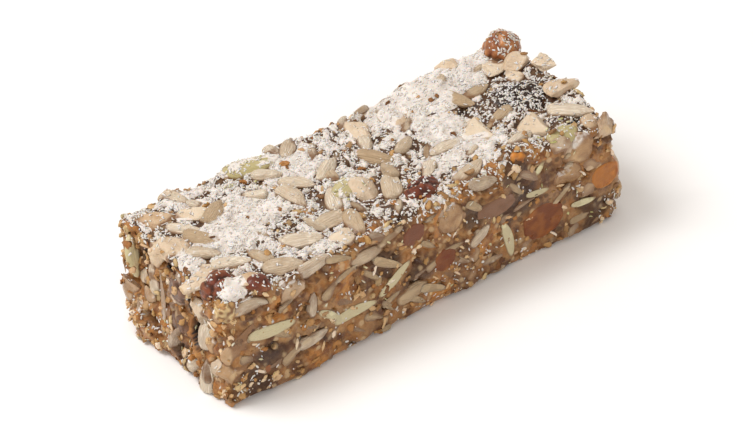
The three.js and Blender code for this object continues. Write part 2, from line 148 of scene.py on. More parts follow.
# Pieces that stand out: face, kind, place along and up the face, spin, roll, size.
CHOSEN = [
    ("top", "kernel", -45.4, 8.3, -46, 0, 0.95),
    ("top", "kernel", -44.2, 2.6, -52, 20, 1.1),
    ("top", "kernel", -46.9, -2.2, -44, 0, 1.0),
    ("top", "kernel", -44.6, -9.8, -24, 0, 1.1),
    ("top", "kernel", -36.2, 9.3, 35, 10, 1.1),
    ("top", "nut", -40.8, 11.6, -30, 0, 0.85),
    ("top", "nut", -51.8, 4.8, -36, 10, 1.15),
    ("top", "kernel", -36.0, -18.0, -24, 25, 1.15),
    ("top", "pumpkin", -20.1, 18.4, -10, -12, 1.1),
    ("top", "kernel", -19.2, 13.0, -40, 0, 0.95),
    ("top", "kernel", -15.4, 5.7, -48, 0, 1.05),
    ("top", "kernel", -17.1, -11.2, 0, 15, 1.2),
    ("top", "kernel", -27.3, -12.8, -28, 20, 1.2),
    ("top", "nut", -19.8, -18.0, -20, 0, 0.8),
    ("top", "nut", -5.0, -6.2, 39, 20, 1.2),
    ("top", "kernel", 0.4, -8.6, 64, 10, 1.35),
    ("top", "kernel", 4.2, 2.4, -56, 55, 1.25),
    ("top", "kernel", -6.4, 6.4, 36, 60, 1.3),
    ("top", "nut", 8.4, 14.6, 70, 0, 1.2),
    ("top", "nut", 17.2, 12.6, 75, 10, 1.0),
    ("top", "pumpkin", -8.4, -3.2, 30, 10, 0.7),
    ("top", "nut", 51.6, 10.4, 0, 0, 1.15),
    ("top", "nut", 55.2, 5.6, 60, 0, 0.8),
    ("top", "nut", 52.4, -5.4, 20, 10, 1.0),
    ("top", "kernel", 49.0, -12.8, -40, 10, 1.25),
    ("top", "wedge", 38.2, -12.4, 146, -20, 1.05),
    ("top", "wedge", 27.4, -5.0, 150, -18, 1.1),
    ("top", "kernel", 31.6, 7.4, -66, 20, 1.0),
    ("top", "nut", 50.4, -18.4, 40, 0, 0.75),
    ("top", "pumpkin", 41.6, -19.4, 5, 25, 0.7),
    ("near", "pumpkin", -43.4, 16.2, -6, 78, 1.0),
    ("near", "kernel", -47.9, 24.6, -5, 20, 1.25),
    ("near", "kernel", -29.4, 26.4, 8, 30, 1.25),
    ("near", "kernel", -32.0, 17.6, 80, 10, 0.8),
    ("near", "pumpkin", -28.0, 12.6, -40, 70, 0.6),
    ("near", "nut", -36.8, 23.6, 10, 0, 1.0),
    ("near", "kernel", -33.0, 9.0, 8, 10, 0.95),
    ("near", "kernel", -15.7, 23.0, -2, 10, 1.35),
    ("near", "pumpkin", -9.4, 13.4, 31, 75, 0.85),
    ("near", "kernel", -4.4, 7.2, 10, 10, 1.2),
    ("near", "pumpkin", -21.1, 10.2, 1, 80, 1.0),
    ("near", "nut", 7.0, 22.6, 60, 0, 1.2),
    ("near", "kernel", 15.0, 14.0, 30, 0, 0.9),
    ("near", "pumpkin", 44.9, 9.2, -6, 70, 0.55),
    ("near", "nut", 41.0, 18.2, 0, 0, 1.2),
    ("near", "nut", 44.0, 24.0, 5, 0, 1.25),
    ("near", "pumpkin", 22.8, 8.8, -76, 75, 0.85),
    ("near", "kernel", 17.4, 27.0, -10, 20, 1.0),
    ("near", "nut", 52.6, 26.6, 90, 0, 0.9),
    ("left", "pumpkin", -16.8, 20.0, -84, 62, 0.85),
    ("left", "nut", -7.4, 25.6, 30, 0, 0.85),
    ("left", "kernel", 13.9, 16.2, 72, 40, 1.5),
    ("left", "kernel", 14.2, 4.6, 80, 30, 1.1),
    ("left", "nut", 11.2, 21.4, 80, 0, 0.8),
    ("left", "kernel", 8.2, 4.8, 50, 20, 0.9),
    ("right", "nut", -17.5, 5.0, 20, 0, 1.0),
]
FILL = {"top": 24, "near": 16, "far": 20, "left": 5, "right": 9, "under": 0}
FILL_MARGIN = {"top": 2.4, "near": 2.4, "far": 2.4, "left": 5, "right": 5, "under": 2.4}
FILL_TILT = 14  # degrees, the most either way
FILL_ROLL = {True: 90, False: 40}  # degrees, the most on a side and on top
FILL_SMALLEST = {"kernel": 0.85, "pumpkin": 0.72, "nut": 0.85}
FILL_VARIES = 0.3
FILL_TRIES = 40  # for each piece, before a crowded face is left as it is
ON_EDGE = 60  # degrees of roll from which the knife went through a piece in a cut face
CUT_SHARE = 0.55  # of its crown, which such a piece stands farther out before it is cut
CLEARANCE = 0.5  # of two pieces' mean length, which they keep from each other
HOLLOW_CLEARANCE = 1.3  # of a hollow's radii, which pieces keep from its centre
KERNEL_SHARE = 0.74  # of what fills a face
PUMPKIN_SHARE = 0.12  # of what fills a face where pumpkin seeds lie
# Steps of evenly spread sequences.
STEP = {
    "along": 0.7548777,
    "up": 0.5698403,
    "spin": 0.618034,
    "roll": 0.4142136,
    "size": 0.7320508,
    "kind": 0.236068,
    "tilt": 0.3027756,
}

# Smaller pieces between them, which the slab is too coarse to hold.
EXTRA = {"top": 18, "near": 46, "far": 46, "left": 12, "right": 12, "under": 60}
EXTRA_KERNELS = {"left": 0.25, "right": 0.35}  # the share of kernels among them, where few show
EXTRA_START = 1000  # where their evenly spread sequence starts
EXTRA_CLEARANCE = 0.3
EXTRA_SIZE = 0.72  # against the others
EXTRA_END = 6.5  # how far the smaller pieces of the long sides keep from the ends

# How far pieces stay below what the knife cut, so that no two kinds lie in one plane there.
SLACK = 0.02  # what stands out, fruit, and loose things
FILL_SLACK = 0.07
EXTRA_SLACK = 0.12
PASTE_SLACK = 0.16

FRUIT_KINDS = ("raisin", "prune", "date", "apricot")
FRUIT = sorted(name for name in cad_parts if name.split("_")[0] in FRUIT_KINDS)

# ---- Arrays of points ----


def unit(vectors):
    """Vectors at length 1."""
    return vectors / np.maximum(np.linalg.norm(vectors, axis=-1, keepdims=True), 1e-9)


def smoothstep(low, high, values):
    """0 up to low, 1 from high on, and smooth between them."""
    t = np.clip((values - low) / (high - low), 0, 1)
    return t * t * (3 - 2 * t)


def lump_noise(points, size, seed=0):
    """Smooth noise from -1 to 1 with lumps of that size, in the points' units."""
    scaled = np.asarray(points, dtype=float) / size + 57.3 * seed
    cell = np.floor(scaled).astype(np.int64)
    t = scaled - cell
    t = t * t * (3 - 2 * t)
    total = np.zeros(len(scaled))
    for corner in itertools.product((0, 1), repeat=3):
        x, y, z = (cell + np.array(corner)).T
        mixed = (x * 374761393 + y * 668265263 + z * 1440662683 + seed * 974634777) & 0xFFFFFFFF
        mixed = ((mixed ^ (mixed >> 13)) * 1274126177) & 0xFFFFFFFF
        mixed ^= mixed >> 16
        weight = np.prod(np.where(corner, t, 1 - t), axis=1)
        total += weight * (mixed / 0x7FFFFFFF - 1)
    return total


def turned(points, axis, degrees):
    """Points turned about an axis through the origin."""
    return points @ np.array(Matrix.Rotation(math.radians(degrees), 3, axis)).T


class Face:
    """One face of the bar, with a frame of its own: along it, up it and out of it."""

    def __init__(self, stand, turn, reach, span, sunk, proud, ripple, lie, sway):
        across = Matrix.Rotation(math.radians(turn), 3, "Z")
        self.axes = np.array(across @ Matrix.Rotation(math.radians(stand), 3, "X"))
        self.reach, self.span, self.sunk, self.proud, self.ripple = reach, span, sunk, proud, ripple
        self.lie, self.sway = lie, sway
        self.middle = PRESSED / 2 if stand == 90 else 0
        self.is_side = stand == 90

    def to_bar(self, points):
        """Points of the face's own frame in the bar's."""
        return (points + np.array([0, 0, self.reach])) @ self.axes.T

    def from_bar(self, points):
        """Points of the bar in the face's own frame."""
        return points @ self.axes - np.array([0, 0, self.reach])

    @property
    def outward(self):
        """The direction out of the face."""
        return self.axes[:, 2]


faces = {name: Face(**values) for name, values in FACES.items()}


def relief(name, along, up):
    """How far the paste stands out of a face's outline plane."""
    face = faces[name]
    wave = np.sin(along * 0.31 + up * 0.12 + face.sunk * 9) * np.cos(up * 0.37 - along * 0.09)
    height = wave * face.ripple - face.sunk
    for where, x, y, rise, reach in SWELLS:
        if where == name:
            height = height + rise * np.exp(-((along - x) ** 2 + (up - y) ** 2) / reach**2)
    return height


# ---- Where the seeds lie ----

SIZES = {"kernel": KERNEL, "pumpkin": PUMPKIN_SEED, "nut": NUT_FLAKE, "wedge": NUT_WEDGE}
FRUIT_MEAN = 5.2  # the length of fruit of size 1


def row_length(row):
    """The length of a row's piece."""
    return (FRUIT_MEAN if row[1] == "fruit" else SIZES[row[1]][0]) * row[6]


def fruit_rows(name):
    """Where fruit shows on a face, as rows like those of CHOSEN."""
    rows = []
    for node in FRUIT:
        low, high = (np.array(corner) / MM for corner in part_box(node))
        middle, radius = (low + high) / 2, max(high - low) / 2
        along, up, out = faces[name].from_bar(middle)
        if out > -radius:
            rows.append((name, "fruit", along, up, 0, 0, radius / (FRUIT_MEAN / 2)))
    return rows


def spread(n, step):
    """The n-th value from 0 to 1 of an evenly spread sequence."""
    return (n * STEP[step]) % 1


def in_hollow(name, along, up):
    """Whether a place on a face lies in the mouth of a hollow."""
    spot = faces[name].to_bar(np.array([along, up, relief(name, along, up)]))
    away = [np.linalg.norm((spot - row[:3]) / row[3:]) for row in map(np.array, HOLLOWS)]
    return min(away) < HOLLOW_CLEARANCE


def fill_rows(name, count, taken, start=1, clearance=CLEARANCE, smaller=1.0, kernels=KERNEL_SHARE):
    """Rows that fill a face evenly, each clear of what has been laid before."""
    seeds = KERNEL_SHARE + PUMPKIN_SHARE
    face, rows, n = faces[name], [], start
    while len(rows) < count and n < start + FILL_TRIES * count:
        along = (spread(n, "along") - 0.5) * (face.span[0] - 2 * FILL_MARGIN[name])
        up = face.middle + (spread(n, "up") - 0.5) * (face.span[1] - 2 * FILL_MARGIN[name])
        pick = spread(n, "kind")
        kind = "nut"
        if pick < kernels:
            kind = "kernel"
        elif pick < seeds and name in WITH_PUMPKIN:
            kind = "pumpkin"
        roll = 0 if kind == "nut" else spread(n, "roll") * FILL_ROLL[face.is_side]
        scale = (FILL_SMALLEST[kind] + FILL_VARIES * spread(n, "size")) * smaller
        tilt = (spread(n, "tilt") - 0.5) * 2 * FILL_TILT
        spin = face.lie + (spread(n, "spin") * 2 - 1) * face.sway
        row = (name, kind, along, up, spin, roll, scale, tilt)
        apart = (
            math.hypot(other[2] - along, other[3] - up)
            > clearance * (row_length(other) + row_length(row)) / 2
            for other in taken + rows
        )
        if all(apart) and not in_hollow(name, along, up):
            rows.append(row)
        n += 1
    return rows


rows, extra_rows = [], []
for name in faces:
    shown = [row for row in CHOSEN if row[0] == name]
    fruit_here = fruit_rows(name)
    filled = fill_rows(name, FILL[name], shown + fruit_here)
    rows += shown + filled
    taken = shown + fruit_here + filled
    kernels = EXTRA_KERNELS.get(name, KERNEL_SHARE)
    between = fill_rows(name, EXTRA[name], taken, EXTRA_START, EXTRA_CLEARANCE, EXTRA_SIZE, kernels)
    reach = LENGTH / 2 - (EXTRA_END if name in ("near", "far") else 0)
    extra_rows += [row for row in between if abs(row[2]) < reach]


# ---- Meshes ----


def make_object(name, points, triangles, material, attributes, sharp_angle):
    """A mesh object from points in millimetres, riding on the bar, with values at its points."""
    mesh = bpy.data.meshes.new(name)
    mesh.vertices.add(len(points))
    mesh.vertices.foreach_set("co", (np.asarray(points) * MM).ravel())
    mesh.loops.add(3 * len(triangles))
    mesh.loops.foreach_set("vertex_index", np.asarray(triangles).ravel())
    mesh.polygons.add(len(triangles))
    mesh.polygons.foreach_set("loop_start", np.arange(len(triangles)) * 3)
    mesh.update(calc_edges=True)
    mesh.validate()
    mesh.shade_smooth()
    if sharp_angle:
        mesh.set_sharp_from_angle(angle=math.radians(sharp_angle))
    for key, values in attributes.items():
        kind = "FLOAT" if np.ndim(values) == 1 else "FLOAT_VECTOR"
        layer = mesh.attributes.new(key, kind, "POINT")
        slot = "value" if kind == "FLOAT" else "vector"
        layer.data.foreach_set(slot, np.asarray(values, dtype=float).ravel())
    mesh.materials.append(material)
    made = bpy.data.objects.new(name, mesh)
    bpy.context.collection.objects.link(made)
    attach(made, "root")
    return made


class Heap:
    """Many small pieces joined in one mesh. Each vertex knows its piece's tone, how much syrup is on it,
    whether the knife cut it, its place in its own piece, and how near its long edges that is, for painted
    shade."""

    def __init__(self):
        self.points, self.triangles, self.count = [], [], 0
        self.marks = {"tone": [], "syrup": [], "cut": [], "place": [], "brim": []}

    def add(self, points, triangles, tone, syrup, cut, place):
        """One more piece, with its marks."""
        self.points.append(points)
        self.triangles.append(triangles + self.count)
        self.count += len(points)
        full = np.ones(len(points))
        self.marks["tone"].append(full * tone)
        self.marks["syrup"].append(full * syrup)
        self.marks["cut"].append(full * cut)
        self.marks["place"].append(place)
        # How near the piece's long edges: painted shade is laid there.
        self.marks["brim"].append(np.abs(place[:, 1]))

    def joined(self):
        """The heap as points, triangles and marks."""
        marks = {key: np.concatenate(values) for key, values in self.marks.items()}
        return np.concatenate(self.points), np.concatenate(self.triangles), marks


def ring_mesh(around, along):
    """A ball with its poles at -X and +X, as unit points and triangles."""
    angles = np.arange(around) * 2 * math.pi / around
    points = [(-1.0, 0.0, 0.0)]
    for station in range(1, along):
        polar = math.pi * station / along
        out = math.sin(polar)
        for angle in angles:
            points.append((-math.cos(polar), out * math.cos(angle), out * math.sin(angle)))
    points.append((1.0, 0.0, 0.0))
    triangles = []
    last = len(points) - 1
    for k in range(around):
        after = (k + 1) % around
        triangles.append((0, 1 + after, 1 + k))
        triangles.append((last, last - around + k, last - around + after))
        for station in range(along - 2):
            a = 1 + station * around + k
            b = 1 + station * around + after
            triangles += [(a, b, b + around), (a, b + around, a + around)]
    return np.array(points), np.array(triangles)


def ball_mesh(detail):
    """A ball of even triangles, as unit points and triangles."""
    ball = bmesh.new()
    bmesh.ops.create_icosphere(ball, subdivisions=detail, radius=1)
    points = np.array([vertex.co[:] for vertex in ball.verts])
    triangles = np.array([[vertex.index for vertex in face.verts] for face in ball.faces])
    ball.free()
    return points, triangles


def box_lattice(counts):
    """The surface of a box from -1 to 1, in that many cells each way, as points and triangles."""
    corners = []
    for axis in range(3):
        u, v = (axis + 1) % 3, (axis + 2) % 3
        iu, iv = np.meshgrid(np.arange(counts[u]), np.arange(counts[v]), indexing="ij")
        for side in (0, counts[axis]):
            quad = np.zeros((iu.size, 4, 3), dtype=np.int64)
            quad[:, :, axis] = side
            for k, (du, dv) in enumerate(((0, 0), (1, 0), (1, 1), (0, 1))):
                quad[:, k, u] = iu.ravel() + du
                quad[:, k, v] = iv.ravel() + dv
            corners.append(quad if side else quad[:, ::-1])
    corners = np.concatenate(corners)
    nodes, index = np.unique(corners.reshape(-1, 3), axis=0, return_inverse=True)
    index = index.reshape(-1, 4)
    triangles = np.concatenate([index[:, (0, 1, 2)], index[:, (0, 2, 3)]])
    return nodes / (np.array(counts) / 2) - 1, triangles


# ---- The pieces' own shapes, at length, width and thickness 2 ----

KERNEL_BALL = ring_mesh(24, 12)
PUMPKIN_BALL = ring_mesh(24, 18)
NUT_BALL = ball_mesh(4)
WEDGE_SIDES = (90, 210, 330)  # degrees about the vertical
WEDGE_SLOPE = 0.3


def kernel_shape(n):
    """A flat drop with one sharp tip, ridges along it and a slight bend."""
    ball, triangles = KERNEL_BALL
    x, y, z = ball.T
    slim = (1 - 0.28 * x - 0.3 * smoothstep(0.3, 1.0, x)) * np.where(x < 0, (1.0001 - x**2) ** -0.1, 1)
    ridges = 1 - 0.15 * np.abs(np.sin(3 * np.arctan2(z, y) + n)) * (1 - x**2)
    side = np.sign(y) * np.abs(y) ** 0.9 * slim * ridges + 0.14 * math.sin(n * 1.7) * x**2
    back = np.sign(z) * np.abs(z) ** 0.75 * slim * ridges * 0.9 + 0.1 * math.cos(n * 2.3) * x**2
    shape = np.stack([x, side, back], axis=1)
    return shape * (1 + 0.1 * lump_noise(ball, 0.6, n)[:, None]), triangles


def pumpkin_shape(n):
    """A plump flat oval with a blunt point."""
    ball, triangles = PUMPKIN_BALL
    x, y, z = ball.T
    slim = 1 - 0.18 * x - 0.12 * np.maximum(x, 0) ** 3
    plump = np.abs(z) ** 0.8 * np.sign(z) * (1 - 0.18 * x)
    shape = np.stack([x, y * slim, plump + 0.25 * math.sin(n) * x**2], axis=1)
    return shape * (1 + 0.03 * lump_noise(ball, 0.6, n)[:, None]), triangles


def chipped(points, n, cuts, depth):
    """Points cut back to a few planes, as a broken piece's faces are."""
    draws = np.random.default_rng(n)
    normals = unit(draws.normal(size=(cuts, 3)))
    for normal, offset in zip(normals, draws.uniform(1 - depth, 0.95, cuts)):
        beyond = np.maximum(points @ normal - offset, 0)
        points = points - beyond[:, None] * normal
    return points


def crumbled(points, n):
    """Points with the skin of a broken nut."""
    rough = 0.07 * lump_noise(points, 0.4, n) + 0.05 * lump_noise(points, 0.15, n + 9)
    return points + unit(points) * rough[:, None]


def nut_shape(n):
    """A broken flake with flat faces and a crumbly skin."""
    ball, triangles = NUT_BALL
    points = chipped(ball, n, 10, 0.5) * 1.12
    skew = 1 + 0.2 * np.sin(points[:, 0] * 3 + n)
    return crumbled(points * np.stack([skew, skew, np.ones_like(skew)], axis=1), n), triangles


def wedge_shape(n):
    """A flat three-cornered piece of nut with blunt corners, one of them at -Y."""
    ball, triangles = NUT_BALL
    points = ball * np.array([1.0, 1.0, 1.1])
    for turn in WEDGE_SIDES:
        normal = unit(np.array([math.cos(math.radians(turn)), math.sin(math.radians(turn)), WEDGE_SLOPE]))
        points = points - np.maximum(points @ normal - 0.6, 0)[:, None] * normal
    points[:, 2] = np.clip(points[:, 2], -0.8, 0.75)
    reach = np.abs(points).max(axis=0)
    return crumbled(points / reach, n), triangles


SHAPES = {"kernel": kernel_shape, "pumpkin": pumpkin_shape, "nut": nut_shape, "wedge": wedge_shape}


def knife_cuts(points):
    """Where the knife passed at each point: the near side's y and the far side's."""
    reach = KNIFE - TORN * (1 + lump_noise(points, 1.3, 70))
    near = relief("near", points[:, 0], points[:, 2]) + reach
    far = relief("far", -points[:, 0], points[:, 2]) + reach
    return -WIDTH / 2 - near, WIDTH / 2 + far


def within_cut(points, slack=SLACK):
    """Points pulled back to the cuts and the tray, and how far each was beyond them, from 0 to 1."""
    low = np.array([-LENGTH / 2, -WIDTH / 2, 0]) + slack
    high = np.array([LENGTH / 2, WIDTH / 2, PROUDEST]) - slack
    held = np.clip(points, low, high)
    near, far = knife_cuts(points)
    held[:, 1] = np.clip(held[:, 1], near + slack, far - slack)
    return held, np.clip(np.abs(held - points).max(axis=1) / 0.5, 0, 1)


def lay(row, n, sink, slack):
    """One seed or flake of a row, sunk that far in the paste and kept that far inside the cuts: its
    points in the bar, its triangles, which of it was cut, and each point's place in its own piece."""
    name, kind, along, up, spin, roll, scale = row[:7]
    tilt = row[7] if len(row) > 7 else 0
    face, shape = faces[name], SHAPES[kind]
    place, triangles = shape(n)
    length, width, thickness = (size * scale / 2 for size in SIZES[kind])
    crown = math.hypot(math.cos(math.radians(roll)) * thickness, math.sin(math.radians(roll)) * width)
    cut_through = CUT_SHARE * crown if face.is_side and roll >= ON_EDGE else 0
    height = relief(name, along, up) + face.proud - crown + cut_through - sink
    points = place * np.array([length, width, thickness])
    points = turned(turned(turned(points, "X", roll), "Y", tilt), "Z", spin)
    points = face.to_bar(points + np.array([along, up, height]))
    held, cut = within_cut(points, slack)
    return held, triangles, cut, place


# ---- Coconut cover of the top ----

# Where the coconut lies deep and smooth, and where it is thin: x, y, radius, how much so.
DEEP = [
    (-38, 1, 8, 1.0),
    (-29, 5, 7, 1.0),
    (-40, 14, 7, 0.6),
    (-50, -3, 4, 0.8),
    (-49, -18, 5, 1.0),
    (-11, 13, 7, 0.8),
    (-25, -16, 5, 0.5),
    (18, 17, 9, 1.0),
    (30, 14, 10, 1.0),
    (23, 1, 8, 1.0),
    (24, -9, 7, 0.9),
    (14, 6, 6, 0.5),
    (14, -8, 6, 0.7),
    (43, 18, 7, 0.9),
    (36, -15, 5, 0.6),
]
BARE = [
    (43, 1, 9, 1.0),
    (3, -15, 7, 0.7),
    (-13, -17, 7, 0.6),
    (-8, -4, 5, 0.4),
    (-20, -3, 5, 0.4),
    (-33, -14, 4, 0.3),
    (6, 9, 3, 0.7),
    (13, 10, 3, 0.5),
    (-50, 16, 6, 0.3),
    (46, -17, 6, 0.9),
    (28, 3, 3, 0.7),
    (-42, -16, 4, 0.3),
    (52, 8, 7, 0.5),
    (12, -21, 4, 0.9),
    (20, -22, 4, 0.9),
    (28, -22, 4, 0.9),
    (36, -21, 4, 0.8),
    (53, -8, 5, 0.5),
]

# Where bits of pumpkin seed, and golden bits of fruit and nut, lie loose on the top.
GREEN = [(-9, -4, 4, 1.0), (-22, 20, 6, 0.9), (-14, 20, 4, 0.5), (41, -19, 4, 0.8), (17, -20, 3, 0.6)]
GOLDEN = [
    (-20, -3, 3, 1.0),
    (-15, -3, 2.5, 1.0),
    (-29, -5, 2.5, 0.8),
    (-18, -20, 3, 1.0),
    (-12, -20, 3, 1.0),
    (10, -20, 4, 1.0),
    (18, -21, 4, 1.0),
    (25, -21, 4, 1.0),
    (33, -21, 4, 1.0),
    (41, -21, 3, 0.8),
    (48, -18, 4, 0.7),
    (55, -4, 4, 0.6),
    (-53, 14, 5, 0.5),
    (-53, -8, 3, 0.6),
    (3, -15, 5, 0.5),
]


def around(patches, points):
    """How much each point of a face belongs to a set of patches, from 0 to 1."""
    share = np.zeros(len(points))
    for x, y, radius, amount in patches:
        away = ((points[:, 0] - x) ** 2 + (points[:, 1] - y) ** 2) / radius**2
        share = np.maximum(share, amount * np.exp(-away))
    return share


# ---- The paste ----

CELL = 0.5  # of the paste's mesh
CLIMB = {True: 0.5, False: 0.3}  # how far the paste climbs up a piece, on a side and on top
CLIMB_ON_FRUIT = 0.5
PITS = {"near": 70, "far": 70, "left": 60, "right": 50, "top": 50, "under": 60}
PIT_START = 5000  # where their evenly spread sequence starts
PIT_MARGIN = 1.5
PIT_ABOVE = 0.2  # how far over the paste their centres lie
PIT_BROADER = {"left": 1.4, "right": 1.4}  # on the broken ends
# Patches of other paste on the faces, and at hollows painted shade: face, along, up, radius, kind.
PATCHES = [
    ("near", 26.3, 26, 4.5, "dark"),
    ("near", 25, 18.5, 6.5, "dark"),
    ("near", 13, 20, 4.5, "dark"),
    ("near", -22.5, 19.5, 4.5, "amber"),
    ("near", -31, 2, 5.5, "amber"),
    ("near", -44, 9, 4.5, "dark"),
    ("near", -4, 11, 4.5, "dark"),
    ("near", 16, 12, 5, "amber"),
    ("near", -41, 21, 4.5, "amber"),
    ("near", -50, 5, 5, "dark"),
    ("near", -12, 19, 5, "dark"),
    ("near", 2, 4, 5, "amber"),
    ("near", 48, 5, 5, "dark"),
    ("near", 4, 24.5, 5, "amber"),
    ("near", -24, 24, 3, "amber"),
    ("left", -17, 27, 4, "amber"),
    ("left", 18, 22, 4, "amber"),
    # The dark patches at along 9 up 13.5, along 7.4 up 20 and along -13 up 22 lie on hollow mouths: painted
    # shade.
    ("left", 9, 13.5, 4.5, "dark"),
    ("left", 7.4, 20, 3, "dark"),
    ("left", 2, 24.5, 2.5, "dark"),
    ("left", -4, 26, 3, "amber"),
    ("left", 3, 4, 4, "dark"),
    ("left", -13, 22, 3, "dark"),
    ("top", -20, -3, 3, "amber"),
    ("top", -13, -20, 4, "amber"),
    ("top", 22, -19, 5, "amber"),
    ("top", 4, -15, 6, "dark"),
    ("top", 43, 1, 10, "dark"),
    ("top", 10, -21, 4, "amber"),
    ("top", 32, -22, 4, "amber"),
]

# What the paste of a face is made of before its patches. On the top the dark ground is dark paste and also
# painted shade in the gaps of the coconut.
GROUND = {"top": ("dark", 1.0), "left": ("amber", 0.75), "right": ("amber", 0.6)}
DEEP_HOLLOW_SHADE = 1.5  # the mark of the paste deep in a hollow, painted shade
SHALLOW, SHALLOW_HOLLOW_SHADE = (3, 8), 0.5  # the hollows that are open enough for lighter painted shade, and their mark
END_ROUGHNESS = 1.4  # how much rougher the broken ends are


def climb(name, local):
    """How far the paste climbs at each point of a face because of the pieces seated there."""
    face = faces[name]
    rise = np.zeros(len(local))
    under = np.zeros(len(local))
    for row in rows + extra_rows:
        if row[0] != name:
            continue
        length, width, thickness = (size * row[6] / 2 for size in SIZES[row[1]])
        roll, spin = math.radians(row[5]), math.radians(row[4])
        breadth = abs(math.cos(roll)) * width + abs(math.sin(roll)) * thickness
        dx, dy = local[:, 0] - row[2], local[:, 1] - row[3]
        along = (dx * math.cos(spin) + dy * math.sin(spin)) / length
        across = (dy * math.cos(spin) - dx * math.sin(spin)) / breadth
        away = np.hypot(along, across)
        rise = np.maximum(rise, CLIMB[face.is_side] * (1 - smoothstep(0.9, 1.5, away)))
        if row in CHOSEN and not (face.is_side and row[5] >= ON_EDGE):
            under = np.maximum(under, 1 - smoothstep(0.7, 1.0, away))
    for row in fruit_rows(name):
        away = np.hypot(local[:, 0] - row[2], local[:, 1] - row[3]) / (row[6] * (FRUIT_MEAN / 2))
        rise = np.maximum(rise, CLIMB_ON_FRUIT * (1 - smoothstep(0.9, 1.4, away)))
    return rise - 1.2 * under


def dented(points, normals, centre, radii):
    """Points inside an ellipsoid pushed in along their normals to its far wall, and which those are."""
    place = (points - centre) / radii
    inside = np.einsum("ij,ij->i", place, place) < 1
    e, m = place[inside], (normals / radii)[inside]
    em, mm = np.einsum("ij,ij->i", e, m), np.einsum("ij,ij->i", m, m)
    depth = (em + np.sqrt(em**2 + mm * (1 - np.einsum("ij,ij->i", e, e)))) / mm
    points = points.copy()
    points[inside] -= normals[inside] * depth[:, None]
    return points, inside


def paste():
    """The paste as points, triangles and marks of what it is made of and of painted shade."""
    sunk = {name: face.sunk for name, face in faces.items()}
    low = np.array([-LENGTH / 2 + sunk["left"], -WIDTH / 2 + sunk["near"], sunk["under"]])
    high = np.array([LENGTH / 2 - sunk["right"], WIDTH / 2 - sunk["far"], PRESSED - sunk["top"]])
    half = (high - low) / 2
    lattice, triangles = box_lattice(np.round(2 * half / CELL).astype(int))
    outer = lattice * half
    inner = np.clip(outer, EDGE_ROUND - half, half - EDGE_ROUND)
    normals = unit(outer - inner)
    points = inner + normals * EDGE_ROUND + (low + high) / 2
    height = np.zeros(len(points))
    marks = {"amber": np.zeros(len(points)), "dark": np.zeros(len(points))}
    for name, face in faces.items():
        toward = np.maximum(normals @ face.outward, 0) ** 2
        facing = toward > 0.02
        local = face.from_bar(points[facing])
        rise = relief(name, local[:, 0], local[:, 1]) + face.sunk + climb(name, local)
        height[facing] += toward[facing] * rise
        # On the top this lays dark paste that is also painted shade in the coconut's gaps.
        if name in GROUND:
            kind, amount = GROUND[name]
            ground = amount * smoothstep(0.3, 0.7, toward[facing])
            marks[kind][facing] = np.maximum(marks[kind][facing], ground)
        for where, along, up, radius, kind in PATCHES:
            if where == name:
                away = np.hypot(local[:, 0] - along, local[:, 1] - up) / radius
                away += 0.35 * lump_noise(points[facing], 3, 8)
                inside = 1 - smoothstep(0.6, 1.2, away)
                marks[kind][facing] = np.maximum(marks[kind][facing], inside)
                other = "dark" if kind == "amber" else "amber"
                marks[other][facing] = marks[other][facing] * (1 - 0.8 * inside)
    ends = normals[:, 0] ** 2
    rough = 1 + END_ROUGHNESS * ends
    height += ends * (0.7 * lump_noise(points, 5.5, 5) - 0.2)
    height += rough * (0.26 * lump_noise(points, 2.8, 1) + 0.18 * lump_noise(points, 1.2, 2))
    on_edge = 1 - np.abs(normals).max(axis=1)
    height -= on_edge * (0.6 + 2.2 * lump_noise(points, 6, 4))
    points = points + normals * height[:, None]
    for n, row in enumerate(HOLLOWS):
        points, inside = dented(points, normals, np.array(row[:3]), np.array(row[3:]))
        # Painted shade: the paste in a hollow is marked dark, less so in the open ones.
        marks["dark"][inside] = SHALLOW_HOLLOW_SHADE if n in SHALLOW else DEEP_HOLLOW_SHADE
    for name, count in PITS.items():
        face = faces[name]
        for n in range(PIT_START, PIT_START + count):
            along = (spread(n, "along") - 0.5) * (face.span[0] - 2 * PIT_MARGIN)
            up = face.middle + (spread(n, "up") - 0.5) * (face.span[1] - 2 * PIT_MARGIN)
            out = relief(name, along, up) + PIT_ABOVE
            centre = face.to_bar(np.array([along, up, out]))
            wide = PIT_BROADER.get(name, 1.0) * (0.7 + 0.9 * spread(n, "size"))
            deep = 0.9 + 1.3 * spread(n, "tilt")
            radii = np.abs(face.axes @ np.array([wide, wide * 0.7, deep]))
            points = dented(points, normals, centre, radii)[0]
    return within_cut(points, PASTE_SLACK)[0], triangles, marks


# ---- Fruit ----

FRUIT_VOXEL = 0.32
FRUIT_SMOOTHING = 5
# What looks other than its name: a cluster of small bits, and a raisin under coconut.
LOOKS_LIKE = {"apricot_end_corner": "crumbs", "raisin_back_corner": "frosted"}
# How ripe each piece of fruit is, where it isn't left to chance.
RIPE = {
    "apricot_side_large": 0.85,
    "apricot_side_middle": 0.9,
    "apricot_side_low": 0.35,
    "apricot_side_corner": 0.0,
    "apricot_top_edge": 0.1,
    "apricot_end_corner": 0.4,
    "raisin_back_corner": 0.4,
    "raisin_near_corner": 0.7,
    "raisin_near_edge": 0.9,
    "raisin_top_middle": 1.0,
    "raisin_side": 0.9,
}


def crease(values, width):
    """1 in the folds where a noise crosses zero, and 0 away from them."""
    return np.exp(-((values / width) ** 2))


